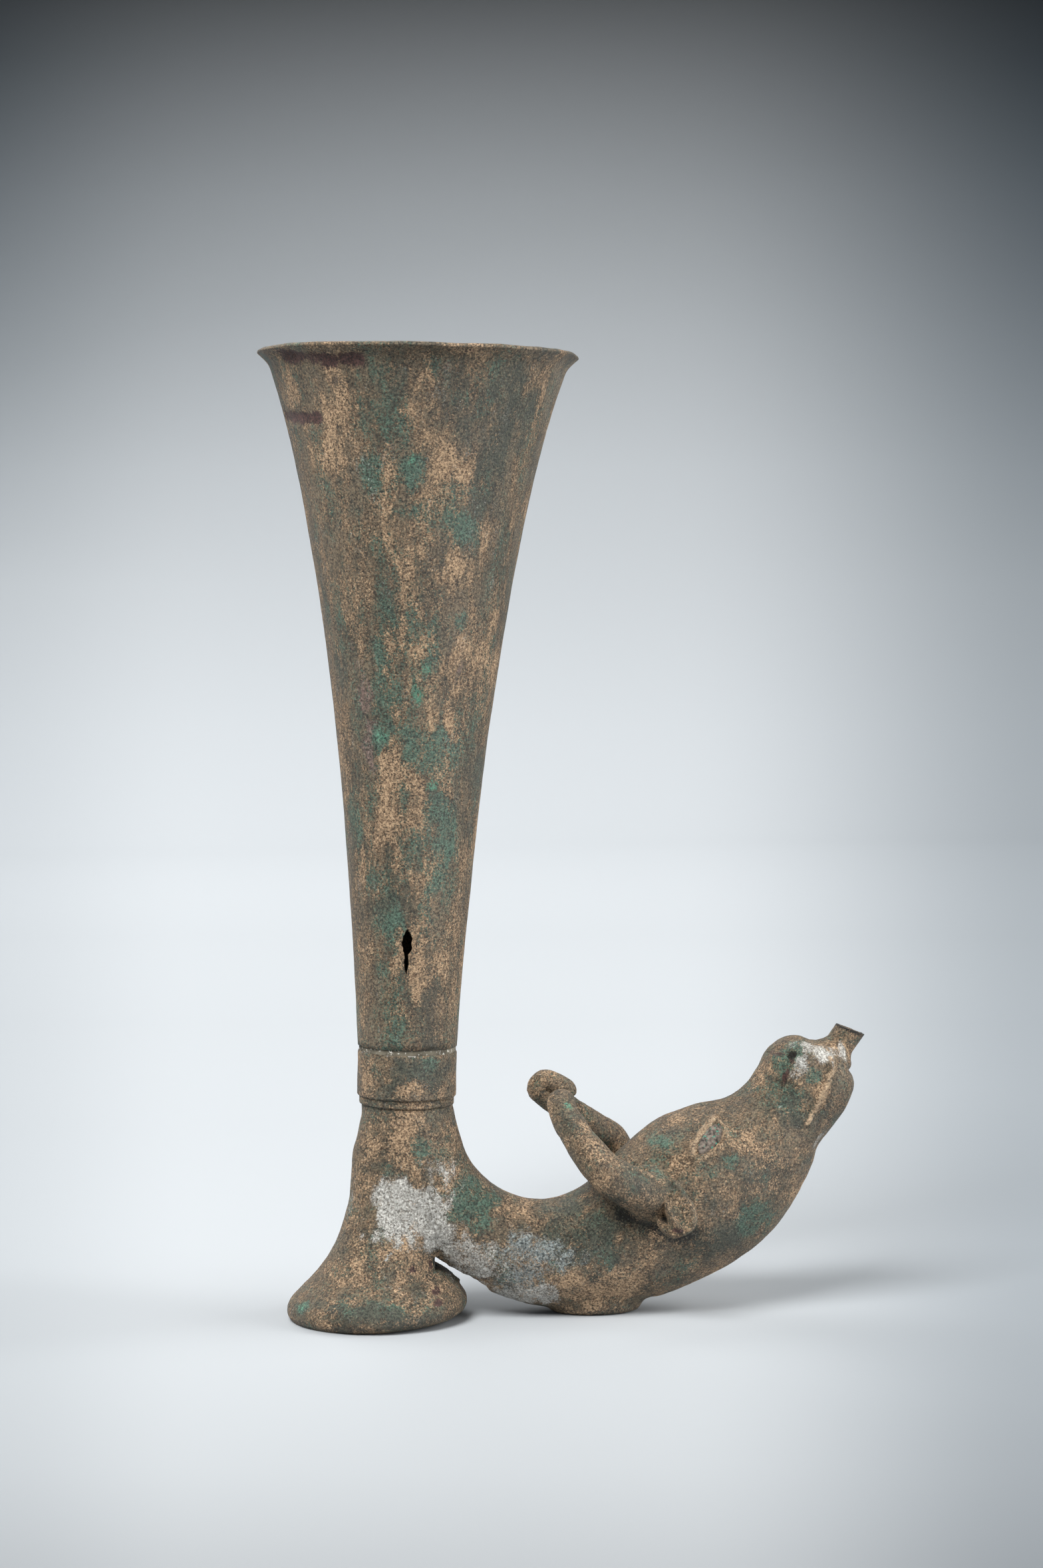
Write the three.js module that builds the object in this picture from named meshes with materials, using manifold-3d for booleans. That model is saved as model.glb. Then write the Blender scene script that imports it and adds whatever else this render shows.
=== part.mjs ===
// Bronze rhyton: a trumpet beaker stands on a cast bend that runs forward into a bull's head with a spout.
// A bell foot under the bend and a pad under the chest carry it.
// Millimetres, +Z up, the head looks along +X and the animal's right side faces -Y.
import * as THREE from 'three';
import { mergeVertices } from 'three/addons/utils/BufferGeometryUtils.js';
import Module from 'manifold-3d';

const wasm = await Module();
wasm.setup();

// Fits
const CLEARANCE = 0.3;

// Beaker: radii and heights are measured from its foot along its own axis
const BEAKER_LEAN_DEG = 1.0;
const BEAKER_WALL = 1.7;
const BEAKER_FOOT_RADIUS = 14.9;
const BEAKER_LOW_RADIUS = 19.9;
const BEAKER_LOW_HEIGHT = 90;
const BEAKER_HIGH_RADIUS = 30.4;
const BEAKER_HIGH_HEIGHT = 162;
const BEAKER_THROAT_RADIUS = 44;
const BEAKER_THROAT_HEIGHT = 202.2;
const LIP_REACH = 3.9;
const LIP_RISE = 5.9;
const LIP_BEAD_RADIUS = 1.1;
const SLIT_LENGTH = 13;
const SLIT_WIDTH = 3.2;
const SLIT_HEIGHT = 29.5;
const SLIT_TURN_DEG = 8;

// Collar and the filler rings above and below it
const COLLAR_HEIGHT = 13.7;
const COLLAR_RADIUS = 14.95;
const COLLAR_EDGE = 0.6;
const SOLDER_HEIGHT = 1.0;
const SOLDER_RADIUS = 14.3;

// Bend: the inner side is an arc, the tube swells towards the chest
const NECK_RADIUS = 13.9;
const NECK_RISE = 4.6;
const NECK_SPIGOT_DEPTH = 8;
const BEND_INNER_RADIUS = 26.9;
const BEND_OUTER_SHIFT = 15.4;
const ARM_TOP_Z = 34.7;
const ARM_DEPTH = 32.9;
const ARM_HALF_WIDTH = 15.2;
const CASTING_WALL = 2.4;
const SPIGOT_WALL = 1.9;
const FRONT_SPIGOT_LENGTH = 9;
const FRONT_SPIGOT_PLAY = 0.6;

// Bull: ribs from chest to lips. x is measured from the lowest point of the bend, z from the table.
// Each rib has a crown point, a throat point, a half width and how much wider it is above than below.
const HEAD_RIBS = [
  { crown: [10.3, 37.5], throat: [18.5, 2.4], halfWidth: 17, brow: 0 },
  { crown: [17.1, 42.6], throat: [34.5, 4.2], halfWidth: 18.5, brow: 0.02 },
  { crown: [24.9, 50.4], throat: [45.8, 8.2], halfWidth: 20, brow: 0.05 },
  { crown: [35, 58.3], throat: [58.3, 14.2], halfWidth: 20.5, brow: 0.08 },
  { crown: [47, 62.6], throat: [69.7, 22.7], halfWidth: 19.5, brow: 0.1 },
  { crown: [56.6, 64.6], throat: [77.7, 33.5], halfWidth: 17, brow: 0.1 },
  { crown: [62.6, 68.5], throat: [83.7, 44.9], halfWidth: 15, brow: 0.06 },
  { crown: [66.9, 74.3], throat: [88.8, 54.6], halfWidth: 14.4, brow: 0.02 },
  { crown: [71.2, 80], throat: [93.6, 61.3], halfWidth: 13.8, brow: 0 },
  { crown: [75.9, 83], throat: [95.9, 68.3], halfWidth: 12.2, brow: 0 },
  { crown: [81.2, 83.6], throat: [95.5, 73.2], halfWidth: 9.2, brow: 0 },
  { crown: [85.3, 82.4], throat: [94.6, 75.4], halfWidth: 5.6, brow: 0 },
];
const SEAM_RIB = 1;

// Carving on the muzzle: way points are a rib and an angle from the crown
const MOUTH_WAY = [[9.5, 86], [8.9, 98], [7.9, 101], [7.1, 105], [6.4, 105]];
const MOUTH_RADIUS = 1.3;
const MOUTH_RISE = 0.5;
const NOSTRIL_WAY = [[8.2, 42], [7.7, 44], [7.15, 51]];
const NOSTRIL_RADIUS = 1.1;

// Spout, let into the lips
const SPOUT_RADIUS = 4.6;
const SPOUT_BORE_RADIUS = 2.9;
const SPOUT_FLARE = 1.5;
const SPOUT_LENGTH = 9.2;
const SPOUT_DEPTH = 5;
const SPOUT_RISE_DEG = 54;
const SPOUT_CUT_DEG = 69;

// Horns: base on the skin by rib and angle from the crown, then way points to the hooked tips
const HORN_RIB = 1.8;
const HORN_ANGLE_DEG = 60;
const HORN_BASE_RADIUS = 6.9;
const RIGHT_HORN_TIP_RADIUS = 4.4;
const LEFT_HORN_TIP_RADIUS = 3.3;
const HORN_TENON_RADIUS = 3.6;
const HORN_TENON_LENGTH = 2;
const RIGHT_HORN_WAY = [
  [15.5, -23, 46.3], [10.1, -19.5, 52.5], [7, -15, 57.3], [4.4, -9, 63], [4.3, -3, 67.6],
];
const LEFT_HORN_WAY = [
  [24, 20.5, 48], [17.4, 15.5, 53.6], [6.9, 8.5, 61.8], [0.6, 6, 66.3],
  [-1.4, 4.9, 68.3], [0.2, 4.6, 70.4], [3.9, 4.5, 69.6], [7, 4.6, 67.6], [9.2, 5, 65.2],
];

// Ears hang under the horns as hollowed leaves
const EAR_RIB = 2.45;
const EAR_ANGLE_DEG = 66;
const EAR_LENGTH = 18;
const EAR_WIDTH = 13;
const EAR_THICKNESS = 6;
const EAR_HOLLOW_DEPTH = 3;
const EAR_HOLLOW_LENGTH = 12;
const EAR_HOLLOW_WIDTH = 5.5;
const EAR_HOLLOW_SHIFT = 2.5;
const EAR_DROOP_DEG = 52;
const EAR_TENON_RADIUS = 1.9;
const EAR_TENON_LENGTH = 2;

// Eyes: almond inlays inside a raised lid
const EYE_RIB = 3.74;
const EYE_ANGLE_DEG = 47;
const EYE_LENGTH = 13;
const EYE_WIDTH = 5.6;
const EYE_THICKNESS = 2.6;
const EYE_TILT_DEG = 31;
const LID_WIDTH = 1.3;
const LID_HEIGHT = 0.7;

// Bell foot: rings from the table up, with the set-back of the ring's centre behind the neck axis
const FOOT_RINGS = [
  { z: 0, reach: 23.6, halfWidth: 23.6, setBack: 9.1 },
  { z: 1.5, reach: 26.5, halfWidth: 26.5, setBack: 9.1 },
  { z: 3.6, reach: 27.6, halfWidth: 27.6, setBack: 9.1 },
  { z: 6.2, reach: 26.9, halfWidth: 26.9, setBack: 9 },
  { z: 9.2, reach: 24.4, halfWidth: 24.4, setBack: 8.8 },
  { z: 14.6, reach: 19.3, halfWidth: 19.3, setBack: 8.2 },
  { z: 20.6, reach: 17.4, halfWidth: 16.4, setBack: 6 },
  { z: 27.6, reach: 16.5, halfWidth: 14.2, setBack: 3.7 },
  { z: 36.6, reach: 16.2, halfWidth: 13.2, setBack: 1.4 },
  { z: 45.6, reach: 16.8, halfWidth: 12.6, setBack: 0.1 },
  { z: 51.6, reach: 16.9, halfWidth: 12.2, setBack: -0.5 },
  { z: 56.5, reach: 15.4, halfWidth: 11.7, setBack: -0.5 },
  { z: 61.5, reach: 14.3, halfWidth: 11, setBack: -0.4 },
];
const FOOT_WALL = 2.3;
const FOOT_RIM_WALL = 5.2;
const FOOT_RIM_HEIGHT = 7;
const FOOT_LIFT = 2.7;
const FOOT_HOLLOW_TOP = 34;
const LEAD_BED_BOTTOM = 13;

// Pad under the chest
const PAD_FRONT = 30;
const PAD_LENGTH = 29;
const PAD_WIDTH = 19;
const PAD_HEIGHT = 12;
const PAD_EDGE = 1.5;
const PAD_FLARE = 3.5;

// Fineness of the curved surfaces
const TURN_STEPS = 32;
const SKIN_STEPS = 24;
const HORN_STEPS = 10;
const CARVING_STEPS = 6;
const SPIGOT_STEPS = 18;
const TENON_STEPS = 10;
const SPOUT_STEPS = 20;
const FOOT_FINENESS = 1.5;
const OUTER_FINENESS = 2;
const INNER_FINENESS = 1;
const FIT_FINENESS = 4;

const bronzeLook = { name: 'patinated_bronze', color: 0x7d664c, roughness: 0.78, metalness: 0.35 };
const solderLook = { name: 'lead_tin_solder', color: 0xb9b5ab, roughness: 0.7, metalness: 0.3 };
const inlayLook = { name: 'eye_inlay', color: 0x77716a, roughness: 0.6, metalness: 0.1 };

const vec = (x, y, z) => new THREE.Vector3(x, y, z);
const rad = THREE.MathUtils.degToRad;

// Closed surface to solid, turned inside out where its triangles face inwards
function solid(source) {
  const bare = source.clone();
  bare.deleteAttribute('normal');
  bare.deleteAttribute('uv');
  const geometry = mergeVertices(bare, 1e-4);
  const points = geometry.attributes.position.array;
  const faces = [];
  let volume = 0;
  for (let i = 0; i < geometry.index.count; i += 3) {
    const corner = [0, 1, 2].map((k) => geometry.index.getX(i + k));
    if (new Set(corner).size === 3) {
      const [a, b, c] = corner.map((k) => vec().fromArray(points, 3 * k));
      volume += a.dot(b.cross(c));
      faces.push(corner);
    }
  }
  const triVerts = new Uint32Array(faces.flatMap((f) => (volume > 0 ? f : [f[0], f[2], f[1]])));
  const mesh = new wasm.Mesh({ numProp: 3, vertProperties: new Float32Array(points), triVerts });
  return new wasm.Manifold(mesh);
}

function surface(body) {
  const mesh = body.getMesh();
  const geometry = new THREE.BufferGeometry();
  geometry.setAttribute('position', new THREE.BufferAttribute(new Float32Array(mesh.vertProperties), 3));
  geometry.setIndex(new THREE.BufferAttribute(new Uint32Array(mesh.triVerts), 1));
  geometry.computeVertexNormals();
  return geometry;
}

// Skin over a row of rings with equal point counts, with a flat end on each side
function loft(rings) {
  const count = rings[0].length;
  const points = rings.flat();
  const index = [];
  for (let i = 0; i + 1 < rings.length; i += 1) {
    for (let j = 0; j < count; j += 1) {
      const a = i * count + j;
      const b = i * count + ((j + 1) % count);
      index.push(a, b, b + count, a, b + count, a + count);
    }
  }
  const last = (rings.length - 1) * count;
  const middle = (ring) => ring.reduce((sum, p) => sum.add(p), vec(0, 0, 0)).divideScalar(count);
  points.push(middle(rings[0]), middle(rings[rings.length - 1]));
  for (let j = 0; j < count; j += 1) {
    const next = (j + 1) % count;
    index.push(points.length - 2, next, j, points.length - 1, last + j, last + next);
  }
  const geometry = new THREE.BufferGeometry().setFromPoints(points);
  geometry.setIndex(index);
  return geometry;
}

// Turned body around the column axis, from a closed outline of (radius, height) points
function turned(outline, steps) {
  const closed = [...outline, outline[0]].map(([r, h]) => new THREE.Vector2(r, h));
  return new THREE.LatheGeometry(closed, steps).rotateX(Math.PI / 2);
}

function rod(start, end, radius, steps) {
  const axis = end.clone().sub(start);
  const geometry = new THREE.CylinderGeometry(radius, radius, axis.length(), steps);
  const turn = new THREE.Quaternion().setFromUnitVectors(vec(0, 1, 0), axis.clone().normalize());
  return geometry.applyQuaternion(turn).translate(...start.clone().lerp(end, 0.5).toArray());
}

function ellipsoid(size, basis) {
  const geometry = new THREE.SphereGeometry(0.5, 16, 8).scale(...size);
  return geometry.applyMatrix4(basis);
}

// Column: the leaning axis that carries collar and beaker above the neck shoulder
const bendX = BEND_INNER_RADIUS + BEND_OUTER_SHIFT;
const bendZ = ARM_TOP_Z + BEND_INNER_RADIUS;
const shoulderZ = bendZ + NECK_RISE;
const column = new THREE.Matrix4().makeRotationY(rad(BEAKER_LEAN_DEG)).setPosition(0, 0, shoulderZ);
const spigotRadius = BEAKER_FOOT_RADIUS - BEAKER_WALL - CLEARANCE;
const lowerSolderZ = CLEARANCE;
const collarZ = lowerSolderZ + SOLDER_HEIGHT + CLEARANCE;
const upperSolderZ = collarZ + COLLAR_HEIGHT + CLEARANCE;
const beakerZ = upperSolderZ + SOLDER_HEIGHT + CLEARANCE;
const upright = (outline) => turned(outline, TURN_STEPS).applyMatrix4(column);

function collarOutline(inner, bottom) {
  const top = bottom + COLLAR_HEIGHT;
  return [
    [inner, bottom], [COLLAR_RADIUS - COLLAR_EDGE, bottom], [COLLAR_RADIUS, bottom + COLLAR_EDGE],
    [COLLAR_RADIUS, top - COLLAR_EDGE], [COLLAR_RADIUS - COLLAR_EDGE, top], [inner, top],
  ];
}

function fillerOutline(inner, bottom) {
  const top = bottom + SOLDER_HEIGHT;
  return [[inner, bottom], [SOLDER_RADIUS, bottom], [SOLDER_RADIUS, top], [inner, top]];
}

function makeBeaker() {
  const wall = new THREE.CubicBezierCurve(
    new THREE.Vector2(BEAKER_FOOT_RADIUS, 0),
    new THREE.Vector2(BEAKER_LOW_RADIUS, BEAKER_LOW_HEIGHT),
    new THREE.Vector2(BEAKER_HIGH_RADIUS, BEAKER_HIGH_HEIGHT),
    new THREE.Vector2(BEAKER_THROAT_RADIUS, BEAKER_THROAT_HEIGHT),
  ).getPoints(12);
  const lipRadius = BEAKER_THROAT_RADIUS + LIP_REACH - LIP_BEAD_RADIUS;
  const lipHeight = BEAKER_THROAT_HEIGHT + LIP_RISE - LIP_BEAD_RADIUS;
  const bead = [-45, 0, 45, 95, 145].map((turn) => [
    lipRadius + LIP_BEAD_RADIUS * Math.cos(rad(turn)),
    lipHeight + LIP_BEAD_RADIUS * Math.sin(rad(turn)),
  ]);
  const outside = wall.map((p) => [p.x, p.y]);
  const inside = wall.map((p) => [p.x - BEAKER_WALL, p.y]).reverse();
  const outline = [...outside, ...bead, ...inside].map(([r, h]) => [r, h + beakerZ]);
  const slitZ = beakerZ + SLIT_HEIGHT;
  const slit = new THREE.SphereGeometry(0.5, 16, 12)
    .scale(SLIT_WIDTH, 4 * BEAKER_FOOT_RADIUS, SLIT_LENGTH)
    .translate(0, -2 * BEAKER_FOOT_RADIUS, slitZ)
    .rotateZ(-rad(SLIT_TURN_DEG))
    .applyMatrix4(column);
  return solid(upright(outline)).subtract(solid(slit));
}

const makeCollar = () => solid(upright(collarOutline(spigotRadius + CLEARANCE, collarZ)));
const makeSolderRing = (bottom) => solid(upright(fillerOutline(spigotRadius + CLEARANCE, bottom)));

// Skin of bend and bull: ribs along the bend follow its arc, then the bull's own ribs take over
const bendTurns = [12, 30, 48, 66, 90];
const lean = rad(BEAKER_LEAN_DEG);
const across = [NECK_RADIUS * Math.cos(lean), NECK_RADIUS * Math.sin(lean)];
const ribs = [{
  crown: [across[0], shoulderZ - across[1]],
  throat: [-across[0], shoulderZ + across[1]],
  halfWidth: NECK_RADIUS,
  brow: 0,
}];
bendTurns.forEach((turn) => {
  const swell = (turn / 90) ** 3;
  const depth = 2 * NECK_RADIUS + (ARM_DEPTH - 2 * NECK_RADIUS) * swell;
  const along = (radius) => [bendX - radius * Math.cos(rad(turn)), bendZ - radius * Math.sin(rad(turn))];
  ribs.push({
    crown: along(BEND_INNER_RADIUS),
    throat: along(BEND_INNER_RADIUS + depth),
    halfWidth: NECK_RADIUS + (ARM_HALF_WIDTH - NECK_RADIUS) * swell,
    brow: 0,
  });
});
const firstHeadRib = ribs.length;
HEAD_RIBS.forEach((rib) => ribs.push({
  ...rib,
  crown: [rib.crown[0] + bendX, rib.crown[1]],
  throat: [rib.throat[0] + bendX, rib.throat[1]],
}));
const lastRib = ribs.length - 1;
const crownLine = new THREE.CatmullRomCurve3(ribs.map((r) => vec(r.crown[0], 0, r.crown[1])));
const throatLine = new THREE.CatmullRomCurve3(ribs.map((r) => vec(r.throat[0], 0, r.throat[1])));
const breadthLine = new THREE.CatmullRomCurve3(ribs.map((r) => vec(r.halfWidth, r.brow, 0)));

// Point of the skin at a rib number and an angle from the crown towards +Y, moved inwards by inset
function skinPoint(rib, angle, inset) {
  const t = THREE.MathUtils.clamp(rib / lastRib, 0, 1);
  const crown = crownLine.getPoint(t);
  const throat = throatLine.getPoint(t);
  const breadth = breadthLine.getPoint(t);
  const half = crown.clone().sub(throat).multiplyScalar(0.5);
  const up = half.clone().setLength(half.length() - inset);
  const width = (breadth.x - inset) * (1 + breadth.y * Math.cos(angle));
  return crown.add(throat).multiplyScalar(0.5)
    .addScaledVector(up, Math.cos(angle))
    .add(vec(0, width * Math.sin(angle), 0));
}

function skinRing(rib, inset) {
  const ring = [];
  for (let j = 0; j < SKIN_STEPS; j += 1) {
    ring.push(skinPoint(rib, (2 * Math.PI * j) / SKIN_STEPS, inset));
  }
  return ring;
}

// Stretch of the skin between two rib numbers, with a number of rings to a rib
function skin(from, to, inset, fineness) {
  const steps = Math.max(2, Math.round((to - from) * fineness));
  const rings = [];
  for (let i = 0; i <= steps; i += 1) {
    const rib = from + ((to - from) * i) / steps;
    rings.push(skinRing(rib, typeof inset === 'function' ? inset(rib) : inset));
  }
  return loft(rings);
}

// Rib number reached after walking a distance along the middle of the skin
function walk(from, distance) {
  const middle = (rib) => skinPoint(rib, 0, 0).add(skinPoint(rib, Math.PI, 0)).multiplyScalar(0.5);
  const step = Math.sign(distance) * 0.01;
  let rib = from;
  let left = Math.abs(distance);
  let here = middle(rib);
  while (left > 0 && rib + step <= lastRib) {
    rib += step;
    const next = middle(rib);
    left -= next.distanceTo(here);
    here = next;
  }
  return rib;
}

const seam = firstHeadRib + SEAM_RIB;
const frontInset = CASTING_WALL + FRONT_SPIGOT_PLAY;
const spigotEnd = walk(seam, FRONT_SPIGOT_LENGTH);
const keepOut = solid(skin(0, lastRib, -CLEARANCE, OUTER_FINENESS));

function makeElbow() {
  const topZ = beakerZ + NECK_SPIGOT_DEPTH;
  const onAxis = (height) => vec(0, 0, height).applyMatrix4(column);
  const foot = onAxis(-NECK_RADIUS / 3);
  const spigot = solid(rod(foot, onAxis(topZ), spigotRadius, SPIGOT_STEPS));
  const bore = solid(rod(foot, onAxis(topZ + 1), spigotRadius - SPIGOT_WALL, SPIGOT_STEPS));
  const outer = solid(skin(0, seam, 0, OUTER_FINENESS));
  const tongue = solid(skin(seam - 0.5, spigotEnd, frontInset, FIT_FINENESS));
  const narrow = (rib) => {
    const share = THREE.MathUtils.smoothstep(rib, firstHeadRib - 1, seam - 0.5);
    return CASTING_WALL + (frontInset + SPIGOT_WALL - CASTING_WALL) * share;
  };
  const channel = solid(skin(0.3, spigotEnd + 0.2, narrow, INNER_FINENESS));
  return outer.add(spigot).add(tongue).subtract(channel).subtract(bore);
}

// Frame on the skin: origin on the surface, x along the body, y up the side, z outwards
function skinFrame(rib, angle) {
  const origin = skinPoint(rib, angle, 0);
  const along = skinPoint(rib + 0.05, angle, 0).sub(skinPoint(rib - 0.05, angle, 0)).normalize();
  const round = skinPoint(rib, angle + 0.02, 0).sub(skinPoint(rib, angle - 0.02, 0)).normalize();
  const outward = along.clone().cross(round).normalize();
  if (outward.y * Math.sin(angle) < 0) {
    outward.negate();
  }
  const side = outward.clone().cross(along);
  return { origin, along, side, outward };
}

const frameAt = (rib, angleDeg, hand) => skinFrame(firstHeadRib + rib, hand * rad(angleDeg));
const at = (frame, depth) => frame.origin.clone().addScaledVector(frame.outward, depth);

// Tube along a curve, rounded off at its end
function sweep(curve, steps, sides, radiusAt) {
  const frames = curve.computeFrenetFrames(steps, false);
  const rings = [];
  const endTurn = 3;
  for (let i = 0; i <= steps; i += 1) {
    const closing = Math.max(0, (i - steps + endTurn) / endTurn);
    const radius = radiusAt(i / steps, Math.sqrt(1 - 0.96 * closing * closing));
    const centre = curve.getPointAt(i / steps);
    const ring = [];
    for (let j = 0; j < sides; j += 1) {
      const turn = (2 * Math.PI * j) / sides;
      ring.push(centre.clone()
        .addScaledVector(frames.normals[i], radius * Math.cos(turn))
        .addScaledVector(frames.binormals[i], radius * Math.sin(turn)));
    }
    rings.push(ring);
  }
  return solid(loft(rings));
}

function hornSweep(hand, way, tipRadius, grow) {
  const base = frameAt(HORN_RIB, HORN_ANGLE_DEG, hand);
  const root = [at(base, -CASTING_WALL), at(base, HORN_BASE_RADIUS / 2)];
  const points = way.map(([x, y, z]) => vec(x + bendX, y, z));
  const curve = new THREE.CatmullRomCurve3([...root, ...points]);
  const taper = (share) => THREE.MathUtils.lerp(HORN_BASE_RADIUS, tipRadius, Math.min(1, 1.2 * share));
  return sweep(curve, 4 * way.length, HORN_STEPS, (share, end) => taper(share) * end + grow);
}

const rightHornSweep = (grow) => hornSweep(-1, RIGHT_HORN_WAY, RIGHT_HORN_TIP_RADIUS, grow);
const leftHornSweep = (grow) => hornSweep(1, LEFT_HORN_WAY, LEFT_HORN_TIP_RADIUS, grow);

function hornTenon(hand, radius, depth) {
  const base = frameAt(HORN_RIB, HORN_ANGLE_DEG, hand);
  return solid(rod(at(base, HORN_BASE_RADIUS / 3), at(base, -depth), radius, TENON_STEPS));
}

const makeRightHorn = () => rightHornSweep(0)
  .subtract(keepOut)
  .add(hornTenon(-1, HORN_TENON_RADIUS, HORN_TENON_LENGTH));
const makeLeftHorn = () => leftHornSweep(0)
  .subtract(keepOut)
  .subtract(rightHornSweep(CLEARANCE))
  .add(hornTenon(1, HORN_TENON_RADIUS, HORN_TENON_LENGTH));

// Ear frame: long axis swings from straight out down to its droop
function earBasis(hand) {
  const base = frameAt(EAR_RIB, EAR_ANGLE_DEG, hand);
  const down = vec(0, 0, -1);
  const out = vec(0, hand, 0);
  const droop = rad(EAR_DROOP_DEG);
  const long = out.multiplyScalar(Math.cos(droop)).addScaledVector(down, Math.sin(droop));
  const wide = base.along.clone().addScaledVector(long, -base.along.dot(long)).normalize();
  const thick = wide.clone().cross(long).multiplyScalar(hand);
  return { base, long, wide, thick };
}

function placed(frame, centre) {
  return new THREE.Matrix4().makeBasis(frame.wide, frame.long, frame.thick).setPosition(centre);
}

function earTenon(hand, radius, depth) {
  const { base } = earBasis(hand);
  return solid(rod(at(base, EAR_THICKNESS / 4), at(base, -depth), radius, TENON_STEPS));
}

function makeEar(hand, horn) {
  const frame = earBasis(hand);
  const centre = frame.base.origin.clone().addScaledVector(frame.long, EAR_LENGTH * 0.42);
  const leaf = solid(ellipsoid([EAR_WIDTH, EAR_LENGTH, EAR_THICKNESS], placed(frame, centre)));
  const hollowCentre = centre.clone()
    .addScaledVector(frame.thick, EAR_THICKNESS / 2)
    .addScaledVector(frame.wide, -EAR_HOLLOW_SHIFT);
  const size = [EAR_HOLLOW_WIDTH, EAR_HOLLOW_LENGTH, 2 * EAR_HOLLOW_DEPTH];
  const hollow = solid(ellipsoid(size, placed(frame, hollowCentre)));
  return leaf
    .subtract(hollow)
    .subtract(keepOut)
    .add(earTenon(hand, EAR_TENON_RADIUS, EAR_TENON_LENGTH))
    .subtract(horn);
}

function eyeBasis(hand) {
  const base = frameAt(EYE_RIB, EYE_ANGLE_DEG, hand);
  const tilt = rad(EYE_TILT_DEG);
  const upward = base.side.clone().multiplyScalar(Math.sign(base.side.z));
  const long = base.along.clone().multiplyScalar(Math.cos(tilt)).addScaledVector(upward, Math.sin(tilt));
  const wide = base.outward.clone().cross(long).normalize();
  return { base, basis: new THREE.Matrix4().makeBasis(long, wide, base.outward).setPosition(base.origin) };
}

function eyeBody(hand, grow) {
  const size = [EYE_LENGTH + 2 * grow, EYE_WIDTH + 2 * grow, EYE_THICKNESS + 2 * grow];
  return solid(ellipsoid(size, eyeBasis(hand).basis));
}

// Socket of an eye, open outwards through the lid
function eyeSocket(hand) {
  const mouth = new THREE.CylinderGeometry(0.5, 0.5, EYE_THICKNESS + LID_HEIGHT, 16).rotateX(Math.PI / 2)
    .translate(0, 0, (EYE_THICKNESS + LID_HEIGHT) / 2)
    .scale(EYE_LENGTH + 2 * CLEARANCE, EYE_WIDTH + 2 * CLEARANCE, 1)
    .applyMatrix4(eyeBasis(hand).basis);
  return eyeBody(hand, CLEARANCE).add(solid(mouth));
}

function lidBody(hand) {
  const size = [EYE_LENGTH + 2 * LID_WIDTH, EYE_WIDTH + 2 * LID_WIDTH, EYE_THICKNESS + 2 * LID_HEIGHT];
  return solid(ellipsoid(size, eyeBasis(hand).basis));
}

// Spout frame: it leaves the middle of the last rib
const lipFrame = (() => {
  const centre = skinPoint(lastRib, 0, 0).add(skinPoint(lastRib, Math.PI, 0)).multiplyScalar(0.5);
  const axis = vec(Math.cos(rad(SPOUT_RISE_DEG)), 0, Math.sin(rad(SPOUT_RISE_DEG)));
  return { centre, axis };
})();
const alongSpout = (distance) => lipFrame.centre.clone().addScaledVector(lipFrame.axis, distance);

function makeSpout() {
  const outline = [
    [SPOUT_BORE_RADIUS, -SPOUT_DEPTH], [SPOUT_RADIUS - CLEARANCE, -SPOUT_DEPTH],
    [SPOUT_RADIUS - CLEARANCE, CLEARANCE], [SPOUT_RADIUS + SPOUT_FLARE, CLEARANCE],
    [SPOUT_RADIUS + SPOUT_FLARE * 0.4, SPOUT_LENGTH * 0.2],
    [SPOUT_RADIUS - 0.4, SPOUT_LENGTH * 0.45], [SPOUT_RADIUS, SPOUT_LENGTH + SPOUT_RADIUS],
    [SPOUT_BORE_RADIUS, SPOUT_LENGTH + SPOUT_RADIUS],
  ];
  const reach = 4 * SPOUT_RADIUS;
  const cut = new THREE.BoxGeometry(reach, reach, reach)
    .translate(0, 0, reach / 2)
    .rotateY(Math.PI / 2 - rad(SPOUT_CUT_DEG))
    .translate(...alongSpout(SPOUT_LENGTH).toArray());
  const turn = new THREE.Quaternion().setFromUnitVectors(vec(0, 0, 1), lipFrame.axis);
  const tube = turned(outline, SPOUT_STEPS).applyQuaternion(turn).translate(...lipFrame.centre.toArray());
  return solid(tube).subtract(solid(cut));
}

// Line on the bull's skin as a round carving, sunk by a depth
function carving(hand, way, radius, depth) {
  const points = way.map(([rib, angle]) => skinPoint(firstHeadRib + rib, hand * rad(angle), depth));
  const curve = new THREE.CatmullRomCurve3(points);
  return sweep(curve, 2 * way.length, CARVING_STEPS, (share, end) => radius * end);
}

function makeHead() {
  const start = walk(seam, CLEARANCE);
  let body = solid(skin(start, lastRib, 0, OUTER_FINENESS));
  [-1, 1].forEach((hand) => {
    body = body.add(lidBody(hand)).add(carving(hand, MOUTH_WAY, MOUTH_RADIUS, MOUTH_RADIUS - MOUTH_RISE));
  });
  const cavityEnd = walk(lastRib, -CASTING_WALL);
  body = body.subtract(solid(skin(start - 0.3, cavityEnd, CASTING_WALL, INNER_FINENESS)));
  [-1, 1].forEach((hand) => {
    body = body.subtract(eyeSocket(hand)).subtract(carving(hand, NOSTRIL_WAY, NOSTRIL_RADIUS, 0));
    body = body.subtract(hornTenon(hand, HORN_TENON_RADIUS + CLEARANCE, 2 * CASTING_WALL));
    body = body.subtract(earTenon(hand, EAR_TENON_RADIUS + CLEARANCE, 2 * CASTING_WALL));
  });
  const spoutHole = rod(alongSpout(-2 * SPOUT_DEPTH), alongSpout(SPOUT_LENGTH), SPOUT_RADIUS, SPOUT_STEPS);
  return body.subtract(solid(spoutHole));
}

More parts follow.
